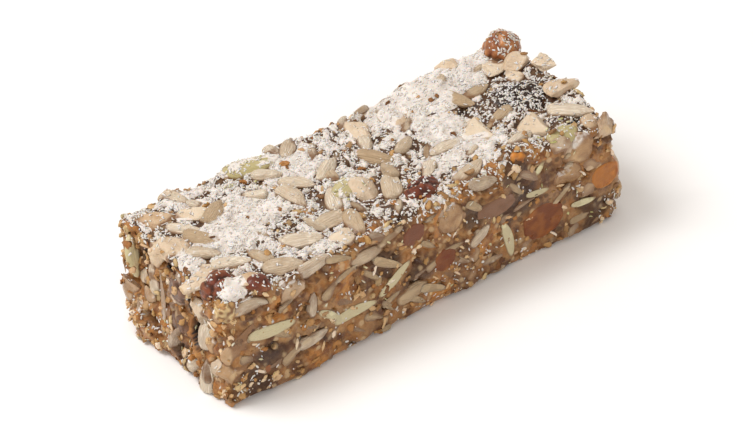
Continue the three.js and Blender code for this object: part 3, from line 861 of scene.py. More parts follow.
def wrinkles(kind, points, n):
    """How far the skin of a piece of fruit stands out at each point."""
    if kind == "crumbs":
        seams = crease(lump_noise(points, 1.7, n), 0.22) + crease(lump_noise(points, 1.4, n + 1), 0.2)
        return 0.35 - 0.7 * np.minimum(seams, 1) + 0.3 * lump_noise(points, 1.1, n + 2)
    if kind == "frosted":
        folds = crease(lump_noise(points * [1, 1, 0.7], 3.4, n), 0.25)
        return 0.15 - 0.3 * folds + 0.25 * lump_noise(points, 1.5, n + 2)
    if kind == "raisin":
        folds = crease(lump_noise(points * [1, 1, 0.6], 3.1, n), 0.2)
        fine = crease(lump_noise(points * [1, 0.7, 1], 1.6, n + 1), 0.2)
        return 0.3 - 0.6 * folds - 0.25 * fine + 0.25 * lump_noise(points, 2.2, n + 2)
    if kind == "prune":
        folds = crease(lump_noise(points, 3.2, n), 0.2)
        return 0.1 - 0.5 * folds + 0.25 * lump_noise(points, 1.4, n + 1)
    if kind == "date":
        strands = crease(lump_noise(points * [0.5, 1, 1.6], 1.6, n), 0.3)
        return 0.05 - 0.25 * strands + 0.15 * lump_noise(points, 0.9, n + 1)
    return 0.35 * lump_noise(points, 2.2, n) + 0.2 * lump_noise(points, 1.1, n + 1) - 0.1


def fruit_kind(node):
    """The kind that a piece of fruit looks like."""
    return LOOKS_LIKE.get(node, node.split("_")[0])


def dressed(node, n):
    """A piece of fruit as a fine mesh in the form of its solid: points, triangles and marks."""
    rough = bpy.data.objects.new("rough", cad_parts[node].data.copy())
    bpy.context.collection.objects.link(rough)
    remesh = rough.modifiers.new("remesh", "REMESH")
    remesh.mode, remesh.voxel_size = "VOXEL", FRUIT_VOXEL * MM
    smooth = rough.modifiers.new("smooth", "SMOOTH")
    smooth.factor, smooth.iterations = 0.5, FRUIT_SMOOTHING
    fine = rough.evaluated_get(bpy.context.evaluated_depsgraph_get()).to_mesh()
    fine.calc_loop_triangles()
    points, normals = np.zeros(3 * len(fine.vertices)), np.zeros(3 * len(fine.vertices))
    fine.vertices.foreach_get("co", points)
    fine.vertices.foreach_get("normal", normals)
    triangles = np.zeros(3 * len(fine.loop_triangles), dtype=np.int32)
    fine.loop_triangles.foreach_get("vertices", triangles)
    points, normals = points.reshape(-1, 3) / MM, normals.reshape(-1, 3)
    bpy.data.objects.remove(rough)
    near, far = knife_cuts(points)
    depth = np.min([LENGTH / 2 - np.abs(points[:, 0]), points[:, 1] - near, far - points[:, 1]], axis=0)
    cut = 1 - smoothstep(0.15, 0.5, depth)
    kind = fruit_kind(node)
    stand = wrinkles(kind, points, n) * (1 - 0.75 * cut)
    points = within_cut(points + normals * stand[:, None])[0]
    place = (points - points.mean(axis=0)) / np.ptp(points, axis=0).max() * 2
    patchy = 0.5 * lump_noise(points, 2.2, n + 40) + 0.3 * lump_noise(points, 1.0, n + 60)
    tone = np.clip(RIPE.get(node, spread(n + 3, "size")) + patchy, 0, 1)
    return points, triangles.reshape(-1, 3), {"tone": tone, "cut": cut, "place": place}


# ---- The coconut blanket ----

BLANKET_CELL = 0.36
BLANKET_DEPTH = 0.5
BLANKET_RIM = 0.6  # how far it stays inside the bar's outline
RAY_START = 3.0  # over the proudest piece
NO_GROUND = PRESSED - 6.0  # the height where nothing lies
# How deep the blanket lies on each kind, and how much that varies.
LIES_ON = {
    "paste": (BLANKET_DEPTH, 0.1),
    "kernel": (-0.5, 0.34),
    "nut": (-0.45, 0.3),
    "pumpkin": (-0.1, 0.3),
    "raisin": (-0.3, 0.5),
    "frosted": (-0.35, 0.7),
    "prune": (-0.8, 0.4),
    "date": (-0.3, 0.2),
    "apricot": (-0.3, 0.2),
    "crumbs": (-0.8, 0.2),
}


def softened(grid, times):
    """A grid of heights blurred that many times over its neighbours."""
    for _ in range(times):
        padded = np.pad(grid, 1, mode="edge")
        grid = (padded[:-2, 1:-1] + padded[2:, 1:-1] + padded[1:-1, :-2] + padded[1:-1, 2:] + 2 * grid) / 6
    return grid


def blanket(tree, labels):
    """The coconut on the top, over all that lies there: points, triangles, and how thick it is."""
    spans = np.array([LENGTH, WIDTH]) - 2 * BLANKET_RIM
    counts = np.round(spans / BLANKET_CELL).astype(int)
    lines = [np.linspace(-span / 2, span / 2, n + 1) for span, n in zip(spans, counts)]
    x, y = np.meshgrid(*lines, indexing="ij")
    ground, depth = np.full(x.shape, NO_GROUND), np.full(x.shape, -1.0)
    flat = np.stack([x, y, 0 * x], axis=-1).reshape(-1, 3)
    vary = lump_noise(flat, 3.2, 21).reshape(x.shape)
    down = Vector((0, 0, -1))
    for i, j in itertools.product(range(x.shape[0]), range(x.shape[1])):
        spot, _, index, _ = tree.ray_cast(Vector((x[i, j], y[i, j], PROUDEST + RAY_START)), down)
        if spot is not None:
            ground[i, j] = spot.z
            mean, change = LIES_ON[labels[index]]
            depth[i, j] = mean + change * vary[i, j]
    steep = np.hypot(*np.gradient(softened(ground, 2), BLANKET_CELL))
    depth -= 0.5 * smoothstep(0.9, 1.8, steep)
    inset = np.minimum(LENGTH / 2 - np.abs(x), WIDTH / 2 - np.abs(y))
    ragged = 1.3 + 1.1 * lump_noise(flat, 2.2, 22).reshape(x.shape)
    depth -= 0.9 * (1 - smoothstep(ragged, ragged + 0.9, inset))
    missing = around(BARE, flat).reshape(x.shape)
    deep = around(DEEP, flat) + 0.2 * lump_noise(flat, 4, 27)
    open_share = 1 - smoothstep(0.15, 0.65, deep).reshape(x.shape)
    depth += 0.75 * smoothstep(0.6, 0.95, deep).reshape(x.shape) * (depth < 0.2)
    holes = 0.7 * lump_noise(flat, 1.0, 24) + 0.6 * lump_noise(flat, 2.1, 23)
    gaps = smoothstep(-0.16, 0.22, holes.reshape(x.shape) + 0.5 * missing)
    depth = softened(depth, 2)
    depth -= (0.15 + 0.95 * open_share) * gaps + 0.35 * missing - 0.15 * (1 - open_share)
    lumps = 0.15 * lump_noise(flat, 1.6, 25) + 0.15 * lump_noise(flat, 0.8, 26)
    height = softened(ground, 3) + depth + lumps.reshape(x.shape)
    points = np.stack([x, y, height], axis=-1).reshape(-1, 3)
    index = np.arange(len(points)).reshape(x.shape)
    quads = np.stack([index[:-1, :-1], index[1:, :-1], index[1:, 1:], index[:-1, 1:]], axis=-1).reshape(-1, 4)
    shows = (depth.reshape(-1)[quads] > -0.2).any(axis=1)
    quads = quads[shows]
    triangles = np.concatenate([quads[:, (0, 1, 2)], quads[:, (0, 2, 3)]])
    used, triangles = np.unique(triangles, return_inverse=True)
    return within_cut(points[used])[0], triangles.reshape(-1, 3), {"thick": depth.reshape(-1)[used]}


# ---- What is dropped on the bar ----

DROP_START = 12.0  # out of the face
DROP_MARGIN = 0.3


def joined_tree(pieces):
    """Several pieces as one tree to cast rays at, and the kind of each of its triangles."""
    counts = np.cumsum([0] + [len(piece["points"]) for piece in pieces])
    corners = np.concatenate([piece["points"] for piece in pieces])
    triangles = np.concatenate([piece["triangles"] + shift for piece, shift in zip(pieces, counts)])
    labels = np.concatenate([np.full(len(piece["triangles"]), piece["kind"]) for piece in pieces])
    return BVHTree.FromPolygons(corners.tolist(), triangles.tolist(), all_triangles=True), labels


def nearness(points, tree, reach):
    """1 where a point touches the tree's surface, falling to 0 that far from it."""
    near = np.zeros(len(points))
    for n, point in enumerate(points.tolist()):
        distance = tree.find_nearest(point, reach)[3]
        if distance is not None:
            near[n] = 1 - distance / reach
    return near


def landings(name, count, draws, tree, labels):
    """Where that many things dropped straight on a face land: points, normals and what they hit."""
    face = faces[name]
    spots, normals, kinds = [], [], []
    down = Vector(-face.outward)
    span = np.array(face.span) - 2 * DROP_MARGIN
    for u, v in draws.uniform(-0.5, 0.5, (count, 2)):
        start = face.to_bar(np.array([u * span[0], face.middle + v * span[1], DROP_START]))
        spot, normal, index, _ = tree.ray_cast(Vector(start), down)
        if spot is not None and normal.dot(down) < 0:
            spots.append(spot[:])
            normals.append(normal[:])
            kinds.append(labels[index])
    return np.array(spots), np.array(normals), np.array(kinds)


def strewn(shape, triangles, spots, normals, sizes, draws, lift, tilt, ragged):
    """Copies of one small shape, each lying on its spot: points, triangles, and a tone each."""
    count = len(spots)
    up = unit(normals + draws.normal(scale=tilt, size=(count, 3)))
    side = unit(np.cross(up, draws.normal(size=(count, 3))))
    axes = np.stack([side, np.cross(up, side), up], axis=1)
    bent = shape[None] * sizes[:, None]
    bent[:, :, 2] += draws.normal(scale=0.12, size=(count, 1)) * shape[None, :, 0] ** 2 * sizes[:, :1]
    bent += draws.normal(scale=ragged, size=bent.shape) * sizes.mean(axis=1)[:, None, None]
    points = np.einsum("npk,nkj->npj", bent, axes) + (spots + normals * lift[:, None])[:, None]
    shifts = (np.arange(count) * len(shape))[:, None, None]
    tones = np.repeat(draws.uniform(size=count), len(shape))
    return within_cut(points.reshape(-1, 3))[0], (triangles[None] + shifts).reshape(-1, 3), {"tone": tones}


SLIVER = ring_mesh(4, 2)
SHRED = ring_mesh(4, 3)
SPLINTER = ring_mesh(6, 5)
LUMP = ball_mesh(2)

# ---- Materials ----


def linear(red, green, blue):
    """A colour of 0 to 255 as the renderer's own."""
    return tuple(((c / 255 + 0.055) / 1.055) ** 2.4 for c in (red, green, blue)) + (1,)


class Nodes:
    """Adds nodes to a tree. An input is a value or another node's socket."""

    def __init__(self, tree):
        self.tree = tree

    def add(self, kind, inputs=None, **settings):
        """A new node of that kind."""
        node = self.tree.nodes.new("ShaderNode" + kind)
        for key, value in settings.items():
            setattr(node, key, value)
        for key, value in (inputs or {}).items():
            self.feed(node.inputs[key], value)
        return node

    def feed(self, socket, value):
        """A value, or another node's socket, into a socket."""
        if isinstance(value, bpy.types.NodeSocket):
            self.tree.links.new(value, socket)
        else:
            socket.default_value = value

    def mix(self, factor, a, b, blend="MIX"):
        """Colour a turning to colour b by the factor."""
        node = self.add("Mix", data_type="RGBA", blend_type=blend)
        for index, value in ((0, factor), (6, a), (7, b)):
            self.feed(node.inputs[index], value)
        return node.outputs[2]

    def math(self, operation, a, b=0.0, clamp=False):
        """One step of arithmetic on two values."""
        return self.add("Math", {0: a, 1: b}, operation=operation, use_clamp=clamp).outputs[0]

    def times(self, a, b):
        """The product of two values."""
        return self.math("MULTIPLY", a, b)

    def plus(self, a, b):
        """The sum of two values."""
        return self.math("ADD", a, b)

    def ramp(self, value, low, high, to_low=0.0, to_high=1.0):
        """A value brought smoothly from one range to another."""
        inputs = {"Value": value, "From Min": low, "From Max": high, "To Min": to_low, "To Max": to_high}
        return self.add("MapRange", inputs, interpolation_type="SMOOTHSTEP").outputs[0]

    def noise(self, scale, detail=2.0, vector=None):
        """Noise from 0 to 1."""
        inputs = {"Scale": scale, "Detail": detail}
        if vector is not None:
            inputs["Vector"] = vector
        return self.add("TexNoise", inputs).outputs["Fac"]

    def attribute(self, name, output="Fac"):
        """One of the mesh's marks."""
        return self.add("Attribute", attribute_name=name, attribute_type="GEOMETRY").outputs[output]

    def place(self):
        """The place on the object."""
        return self.add("TexCoord").outputs["Object"]

    def group(self, tree, inputs):
        """A node group with its inputs fed: its outputs."""
        node = self.add("Group", node_tree=tree)
        for key, value in inputs.items():
            self.feed(node.inputs[key], value)
        return node.outputs


def new_group(name, inputs, output):
    """An empty node group: its tree, its nodes, its inputs and the socket of its one output."""
    tree = bpy.data.node_groups.new(name, "ShaderNodeTree")
    for key, value in inputs.items():
        kind = "NodeSocketFloat" if isinstance(value, float) else "NodeSocketVector"
        socket = tree.interface.new_socket(key, in_out="INPUT", socket_type=kind)
        socket.default_value = value
    tree.interface.new_socket(output, in_out="OUTPUT", socket_type="NodeSocketFloat")
    given, made = tree.nodes.new("NodeGroupInput").outputs, tree.nodes.new("NodeGroupOutput").inputs
    return tree, Nodes(tree), given, made[output]


def dust_group():
    """Coconut dust: thick where Amount is high, in ragged grains, on what faces up."""
    tree, nodes, given, made = new_group("coconut dust", {"Amount": 0.5, "Grain": 900.0}, "Mask")
    up = nodes.add("SeparateXYZ", {0: nodes.add("NewGeometry").outputs["Normal"]}).outputs["Z"]
    place = nodes.place()
    patches = nodes.times(nodes.noise(300.0, 2.0, place), 0.7)
    grains = nodes.times(nodes.noise(given["Grain"], 2.0, place), 0.6)
    level = nodes.math("SUBTRACT", 1.15, given["Amount"])
    ragged = nodes.times(nodes.math("SUBTRACT", nodes.plus(patches, grains), level), 5.0)
    ragged = nodes.math("MULTIPLY", ragged, nodes.ramp(up, 0.1, 0.6), clamp=True)
    nodes.feed(made, ragged)
    return tree


def streaks_group():
    """Fine streaks along a seed, from the place in it."""
    tree, nodes, given, made = new_group("seed streaks", {"Place": (0.0, 0.0, 0.0), "Tone": 0.0}, "Mask")
    shift = nodes.times(given["Tone"], 31.0)
    along = {0: given["Place"], 1: (0.7, 5.0, 5.0)}
    stretched = nodes.add("VectorMath", along, operation="MULTIPLY").outputs[0]
    moved = nodes.add("VectorMath", {0: stretched, 1: shift}, operation="ADD").outputs[0]
    nodes.feed(made, nodes.ramp(nodes.noise(1.6, 3.0, moved), 0.35, 0.65))
    return tree


def skin_group():
    """Fine bumps of a skin or a crumb, at two sizes."""
    tree, nodes, given, made = new_group("fine skin", {"Size": 900.0, "Coarse": 0.6, "Fine": 0.4}, "Height")
    place = nodes.place()
    coarse = nodes.times(nodes.noise(given["Size"], 3.0, place), given["Coarse"])
    fine = nodes.times(nodes.noise(nodes.times(given["Size"], 3.2), 2.0, place), given["Fine"])
    nodes.feed(made, nodes.plus(coarse, fine))
    return tree


def syrup_and_contact_shade_group():
    """Syrup smeared over a piece: thick beside the paste, where it is also painted contact shade, in soft
    patches elsewhere.
    """
    tree, nodes, given, made = new_group("syrup smear and contact shade", {"Rim": 0.0, "Film": 0.0}, "Mask")
    place = nodes.place()
    soft = nodes.ramp(nodes.noise(260.0, 3.0, place), 0.32, 0.68)
    # Beside the paste: thicker syrup, and painted contact shade.
    edge = nodes.ramp(nodes.plus(given["Rim"], nodes.times(nodes.noise(700.0, 2.0, place), 0.4)), 0.3, 0.95)
    film = nodes.times(given["Film"], nodes.plus(nodes.times(soft, 0.9), 0.25))
    nodes.feed(made, nodes.math("MAXIMUM", film, nodes.times(edge, 0.85)))
    return tree


DUST, STREAKS, SKIN, SYRUP_AND_CONTACT_SHADE = dust_group(), streaks_group(), skin_group(), syrup_and_contact_shade_group()

COCONUT = linear(230, 222, 214)
SYRUP = linear(122, 79, 40)


def new_material(name):
    """An empty material: itself, its nodes and its shader."""
    material = bpy.data.materials.new(name)
    material.use_nodes = True
    material.node_tree.nodes.clear()
    nodes = Nodes(material.node_tree)
    shader = nodes.add("BsdfPrincipled")
    nodes.add("OutputMaterial", {"Surface": shader.outputs[0]})
    return material, nodes, shader


def finish_surface(nodes, shader, colour, roughness, height, depth, subsurface=0.0, coat=0.0, scatter=0.0008):
    """Feeds a shader its colour, roughness and bumps, and sets what is the same all over."""
    nodes.feed(shader.inputs["Base Color"], colour)
    nodes.feed(shader.inputs["Roughness"], roughness)
    bump = nodes.add("Bump", {"Height": height, "Distance": depth * MM, "Strength": 1.0})
    nodes.feed(shader.inputs["Normal"], bump.outputs[0])
    nodes.feed(shader.inputs["Coat Weight"], coat)
    shader.inputs["Subsurface Weight"].default_value = subsurface
    shader.inputs["Subsurface Scale"].default_value = scatter
    shader.inputs["Subsurface Radius"].default_value = (1.0, 0.55, 0.3)
    shader.inputs["Coat Roughness"].default_value = 0.18
    shader.inputs["Specular IOR Level"].default_value = 0.24


def paste_material():
    """Brown paste of ground fruit, nuts and syrup, with crumbs of nut and seed in it, and painted shade in
    its hollows and in the gaps of the coconut on the top.
    """
    material, nodes, shader = new_material("syrup paste")
    place = nodes.place()
    broad = nodes.ramp(nodes.noise(200.0, 3.0, place), 0.36, 0.64)
    fine = nodes.ramp(nodes.noise(720.0, 3.0, place), 0.4, 0.7)
    tint = nodes.ramp(nodes.noise(130.0, 2.0, place), 0.38, 0.62)
    colour = nodes.mix(broad, linear(88, 53, 31), nodes.mix(tint, linear(156, 105, 55), linear(152, 112, 74)))
    broken = nodes.ramp(nodes.noise(420.0, 3.0, place), 0.36, 0.6)
    amber = nodes.mix(broken, linear(124, 74, 38), linear(188, 126, 62))
    colour = nodes.mix(nodes.times(nodes.attribute("amber"), 0.8), colour, amber)
    # The dark mark is dark paste, and painted shade in the hollows, at the left end's hollow mouths and in
    # the top's gaps.
    colour = nodes.mix(nodes.times(nodes.attribute("dark"), 0.85), colour, linear(64, 41, 27))
    # Painted shade: paste marked beyond 1 lies deep in a hollow and turns near black.
    deep = nodes.ramp(nodes.attribute("dark"), 1.0, DEEP_HOLLOW_SHADE, 0.0, 0.9)
    crumbly = nodes.times(fine, nodes.ramp(nodes.attribute("dark"), 0.0, 1.0, 0.34, 0.12))
    colour = nodes.mix(crumbly, colour, linear(192, 154, 104))
    cells = nodes.add("TexVoronoi", {"Vector": place, "Scale": 560.0})
    chance = nodes.add("SeparateColor", {0: cells.outputs["Color"]}).outputs[0]
    crumb = nodes.times(nodes.ramp(chance, 0.78, 0.82), nodes.ramp(cells.outputs["Distance"], 0.6, 0.25))
    colour = nodes.mix(nodes.times(crumb, 0.6), colour, linear(206, 178, 138))
    fleck = nodes.times(nodes.ramp(chance, 0.14, 0.1), nodes.ramp(cells.outputs["Distance"], 0.55, 0.25))
    colour = nodes.mix(nodes.times(fleck, 0.6), colour, linear(52, 32, 20))
    # Painted shade deep in the hollows.
    colour = nodes.mix(deep, colour, linear(34, 22, 15))
    wet = nodes.ramp(nodes.noise(330.0, 2.0, place), 0.4, 0.6)
    height = nodes.group(SKIN, {"Size": 800.0, "Coarse": 0.8, "Fine": 0.4})["Height"]
    height = nodes.plus(height, nodes.times(crumb, 0.4))
    finish_surface(
        nodes, shader, colour, nodes.ramp(wet, 0.0, 1.0, 0.55, 0.3), height, 0.4,
        subsurface=0.2, coat=nodes.times(wet, 0.25), scatter=0.0012,
    )
    return material


def blanket_material():
    """Coconut in a soft crust, browner where it is thin, lighter on its bumps and darker in their dips as
    painted light and shade.
    """
    material, nodes, shader = new_material("coconut crust")
    place = nodes.place()
    grain = nodes.noise(1300.0, 3.0, place)
    soft = nodes.noise(420.0, 2.0, place)
    # Painted light and shade: lighter where the bump rises, darker in the dips of its fine grain.
    colour = nodes.mix(nodes.ramp(soft, 0.3, 0.7), linear(209, 201, 193), linear(232, 225, 219))
    colour = nodes.mix(nodes.ramp(grain, 0.42, 0.25), colour, linear(188, 172, 156))
    thin = nodes.ramp(nodes.plus(nodes.attribute("thick"), nodes.times(grain, 0.3)), 0.3, -0.02)
    colour = nodes.mix(nodes.times(thin, 0.8), colour, linear(160, 130, 100))
    height = nodes.plus(nodes.times(grain, 0.6), nodes.times(soft, 0.5))
    finish_surface(nodes, shader, colour, 0.8, height, 0.4, subsurface=0.25, scatter=0.0008)
    return material


def seed_material(name, pale, dark, cut_colour, streak, brim, dust, gloss, bump=0.26, subsurface=0.08):
    """A seed or nut: pale to dark by its tone, with lines along it that are partly painted shade in its
    grooves, painted shade toward its long edges, filmed with syrup, dusted on top."""
    material, nodes, shader = new_material(name)
    tone, syrup = nodes.attribute("tone"), nodes.attribute("syrup")
    streaks = nodes.group(STREAKS, {"Place": nodes.attribute("place", "Vector"), "Tone": tone})["Mask"]
    mottle = nodes.noise(500.0, 3.0, nodes.place())
    shade = nodes.plus(nodes.times(tone, 0.75), nodes.times(mottle, 0.5))
    colour = nodes.mix(nodes.ramp(shade, 0.2, 1.0), pale, dark)
    # Lines along the seed, darkened in the grooves the bump cuts: partly its own lines, partly painted shade.
    colour = nodes.mix(nodes.times(streaks, streak), colour, dark)
    # Painted shade: darker toward the seed's long edges.
    colour = nodes.mix(nodes.ramp(nodes.attribute("brim"), 0.55, 1.05, 0.0, brim), colour, dark)
    colour = nodes.mix(nodes.attribute("cut"), colour, cut_colour)
    # Syrup film, darker beside the paste as painted contact shade.
    film = nodes.group(SYRUP_AND_CONTACT_SHADE, {"Rim": nodes.attribute("rim"), "Film": syrup})["Mask"]
    film = nodes.math("SUBTRACT", film, nodes.times(nodes.attribute("cut"), 0.6), clamp=True)
    colour = nodes.mix(film, colour, SYRUP)
    powder = nodes.times(nodes.attribute("powder"), 0.75)
    amount = nodes.plus(powder, nodes.plus(dust, nodes.times(tone, 0.2)))
    dusted = nodes.group(DUST, {"Amount": amount, "Grain": 1100.0})["Mask"]
    colour = nodes.mix(dusted, colour, COCONUT)
    roughness = nodes.ramp(film, 0.0, 0.5, gloss, 0.32)
    height = nodes.group(SKIN, {"Size": 1100.0, "Coarse": 0.4, "Fine": 0.3})["Height"]
    height = nodes.math("SUBTRACT", height, nodes.times(streaks, streak))
    coat = nodes.times(film, 0.4)
    finish_surface(nodes, shader, colour, roughness, height, bump, subsurface=subsurface, coat=coat)
    return material


def fruit_material(name, deep, bright, ripe, cut_colour, dust, subsurface, coat, scatter, roughness=0.35):
    """Dried fruit: painted shade deep in its folds and painted light on its crests, riper by its tone, dull
    where it is cut.
    """
    material, nodes, shader = new_material(name)
    # Painted light and shade: bright on convex crests, toward deep in concave folds.
    crest_light = nodes.ramp(nodes.add("NewGeometry").outputs["Pointiness"], 0.44, 0.58)
    mottle = nodes.noise(420.0, 3.0, nodes.place())
    shade = nodes.plus(nodes.times(crest_light, 0.6), nodes.times(mottle, 0.5))
    shade = nodes.plus(shade, nodes.times(nodes.attribute("cut"), 0.25))
    colour = nodes.mix(nodes.attribute("tone"), bright, ripe)
    colour = nodes.mix(nodes.ramp(shade, 0.25, 0.85), deep, colour)
    colour = nodes.mix(nodes.times(nodes.attribute("cut"), 0.4), colour, cut_colour)
    # Syrup colour beside the paste, partly painted contact shade.
    film = nodes.group(SYRUP_AND_CONTACT_SHADE, {"Rim": nodes.attribute("rim"), "Film": 0.0})["Mask"]
    colour = nodes.mix(nodes.times(film, 0.35), colour, SYRUP)
    amount = nodes.plus(nodes.times(nodes.attribute("powder"), 0.45), dust)
    dusted = nodes.group(DUST, {"Amount": amount, "Grain": 1000.0})["Mask"]
    colour = nodes.mix(dusted, colour, COCONUT)
    rough = nodes.ramp(nodes.plus(mottle, dusted), 0.3, 1.2, roughness - 0.08, roughness + 0.3)
    height = nodes.group(SKIN, {"Size": 900.0, "Coarse": 0.5, "Fine": 0.3})["Height"]
    finish_surface(nodes, shader, colour, rough, height, 0.25, subsurface, coat, scatter)
    return material


def flake_material(name, stops, roughness, subsurface):
    """Loose bits, each of one tone along a row of colours."""
    material, nodes, shader = new_material(name)
    ramp = nodes.add("ValToRGB", {0: nodes.attribute("tone")})
    ramp.color_ramp.elements.remove(ramp.color_ramp.elements[1])
    for k, colour in enumerate(stops):
        at = k / (len(stops) - 1)
        element = ramp.color_ramp.elements[0] if k == 0 else ramp.color_ramp.elements.new(at)
        element.position, element.color = at, colour
    mottle = nodes.noise(1500.0, 2.0, nodes.place())
    darker = nodes.mix(0.25, ramp.outputs["Color"], SYRUP)
    colour = nodes.mix(nodes.ramp(mottle, 0.55, 0.75), ramp.outputs["Color"], darker)
    rough = nodes.ramp(mottle, 0.2, 0.8, roughness - 0.1, roughness + 0.1)
    finish_surface(nodes, shader, colour, rough, mottle, 0.1, subsurface=subsurface)
    return material


# ---- The bar ----

COCONUT_TONES = [(238, 233, 229), (228, 220, 213), (208, 196, 184)]
CRUMB_TONES = [(94, 58, 34), (168, 114, 60), (192, 150, 98), (126, 82, 44), (214, 180, 134), (156, 102, 54)]
GOLDEN_TONES = [
    (196, 154, 98), (152, 112, 70), (212, 186, 138), (124, 88, 58), (188, 150, 98), (172, 122, 74),
]
CREAM_TONES = [(230, 202, 162), (212, 174, 126), (240, 224, 204), (198, 154, 104), (234, 212, 182)]
GREEN_TONES = [(206, 200, 140), (226, 218, 180), (170, 164, 100), (232, 224, 204)]


def tones(colours):
    """Colours of 0 to 255 as the renderer's own."""
    return [linear(*colour) for colour in colours]


SEED_LOOKS = {
    "kernel": dict(
        name="sunflower kernel", pale=linear(240, 228, 209), dark=linear(186, 161, 129),
        cut_colour=linear(204, 179, 143), streak=0.55, brim=0.45, dust=0.04, gloss=0.5,
    ),
    "pumpkin": dict(
        name="pumpkin seed", pale=linear(226, 215, 178), dark=linear(178, 165, 116),
        cut_colour=linear(222, 213, 174), streak=0.25, brim=0.6, dust=0.2, gloss=0.45,
    ),
    "nut": dict(
        name="nut flake", pale=linear(228, 211, 187), dark=linear(188, 152, 112),
        cut_colour=linear(204, 174, 134), streak=0.1, brim=0.0, dust=0.3, gloss=0.55, bump=0.5,
    ),
}
HEAP_NAMES = {"kernel": "sunflower_kernels", "pumpkin": "pumpkin_seeds", "nut": "nut_flakes"}
ALSO = {"wedge": "nut"}  # which lie in another kind's heap
SEED_SHARP = 50  # degrees between faces from which an edge of a seed is sharp
CONTACT_SHADE_REACH = 0.8  # how far from the paste syrup and painted contact shade are smeared
POWDER_REACH = 0.5  # how far from the crust dust clings
# How much deeper the smaller pieces lie.
SUNK_EXTRA = {"top": 0.6, "near": 0.25, "far": 0.25, "left": 0.8, "right": 0.8, "under": 0.25}
# The least and the most syrup on a seed.
SYRUP_ON = {
    "top": (0.0, 0.1),
    "near": (0.2, 0.75),
    "far": (0.2, 0.75),
    "left": (0.2, 0.85),
    "right": (0.1, 0.8),
    "under": (0.4, 0.8),
}
SYRUP_ON_CHOSEN = {("near", "kernel"): (0.25, 0.6), ("near", "nut"): (0.5, 0.9), ("right", "nut"): (0.2, 0.5)}
# Each fruit's deep colour is painted shade in its folds, and shows at random with the mottle too.
FRUIT_LOOKS = {
    "raisin": dict(
        name="raisin", deep=linear(52, 24, 15), bright=linear(172, 108, 64), ripe=linear(120, 58, 38),
        cut_colour=linear(100, 58, 36), dust=0.05, subsurface=0.12, coat=0.2, scatter=0.001,
    ),
    "frosted": dict(
        name="frosted raisin", deep=linear(104, 52, 32), bright=linear(206, 144, 88),
        ripe=linear(128, 68, 44), cut_colour=linear(128, 80, 52), dust=0.36, subsurface=0.15,
        coat=0.2, scatter=0.001,
    ),
    "prune": dict(
        name="prune", deep=linear(34, 22, 16), bright=linear(74, 50, 38), ripe=linear(56, 38, 29),
        cut_colour=linear(56, 36, 26), dust=0.0, subsurface=0.05, coat=0.1, scatter=0.001,
    ),
    "date": dict(
        name="date", deep=linear(72, 48, 34), bright=linear(146, 114, 96), ripe=linear(108, 78, 60),
        cut_colour=linear(114, 78, 52), dust=0.0, subsurface=0.15, coat=0.15, scatter=0.001,
    ),
    "apricot": dict(
        name="apricot", deep=linear(98, 46, 18), bright=linear(222, 146, 62), ripe=linear(102, 44, 18),
        cut_colour=linear(126, 60, 22), dust=0.0, subsurface=0.35, coat=0.12, scatter=0.002,
    ),
}

# Seeds of another shade than chance gives: face, place along and up it, shade from pale to dark.
SHADES = {
    ("top", 4.2, 2.4): 1.5,
    ("top", 31.6, 7.4): 1.5,
    ("top", -44.2, 2.6): 0.9,
    ("top", 27.4, -5.0): 0.0,
    ("top", 38.2, -12.4): 0.2,
    ("top", 51.6, 10.4): 0.3,
    ("top", -44.6, -9.8): 0.1,
    ("top", -27.3, -12.8): 0.1,
    ("top", -46.9, -2.2): 0.35,
    ("top", 49.0, -12.8): 0.0,
    ("left", -16.8, 20.0): 0.0,
    ("left", 13.9, 16.2): 0.0,
    ("left", 14.2, 4.6): 0.0,
    ("near", 41.0, 18.2): 0.9,
    ("near", 44.0, 24.0): 1.2,
    ("near", 7.0, 22.6): 0.8,
    ("near", -36.8, 23.6): 0.5,
    ("near", -15.7, 23.0): 0.6,
    ("near", -4.4, 7.2): 0.9,
}


def seed_heap(kind):
    """All seeds of one kind as points, triangles and marks."""
    heap = Heap()
    for n, row in enumerate(rows + extra_rows):
        if ALSO.get(row[1], row[1]) != kind:
            continue
        stands_out = row in CHOSEN
        sink, slack = 0.0, SLACK if stands_out else FILL_SLACK
        if n >= len(rows):
            sink, slack = SUNK_EXTRA[row[0]], EXTRA_SLACK
        points, triangles, cut, place = lay(row, n, sink, slack)
        low, high = SYRUP_ON[row[0]]
        if stands_out:
            low, high = SYRUP_ON_CHOSEN.get((row[0], row[1]), (0.0, 0.15))
        syrup = low + (high - low) * spread(n, "roll")
        tone = spread(n, "kind") * (0.4 if stands_out and faces[row[0]].is_side else 0.85)
        tone = SHADES.get((row[0], row[2], row[3]), tone)
        heap.add(points, triangles, tone, syrup, cut, place)
    return heap.joined()


def make_piece(piece, material):
    """One piece of the bar as an object, with the imported part of its node hidden."""
    form = piece["points"], piece["triangles"]
    made = make_object(piece["name"], *form, material, piece["marks"], piece["sharp"])
    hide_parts(piece["node"])


def as_piece(name, kind, made, node="seed_slab", slot="slab", sharp=None):
    """A piece's name, kind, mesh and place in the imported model."""
    points, triangles, marks = made
    return dict(
        name=name, kind=kind, points=points, triangles=triangles, marks=marks,
        node=node, slot=slot, sharp=sharp,
    )


pieces = [as_piece("paste", "paste", paste())]
for kind, heap_name in HEAP_NAMES.items():
    pieces.append(as_piece(heap_name, kind, seed_heap(kind), sharp=SEED_SHARP))
for n, node in enumerate(FRUIT):
    slot = node.split("_")[0]
    pieces.append(as_piece(node + "_flesh", fruit_kind(node), dressed(node, n), node, slot))

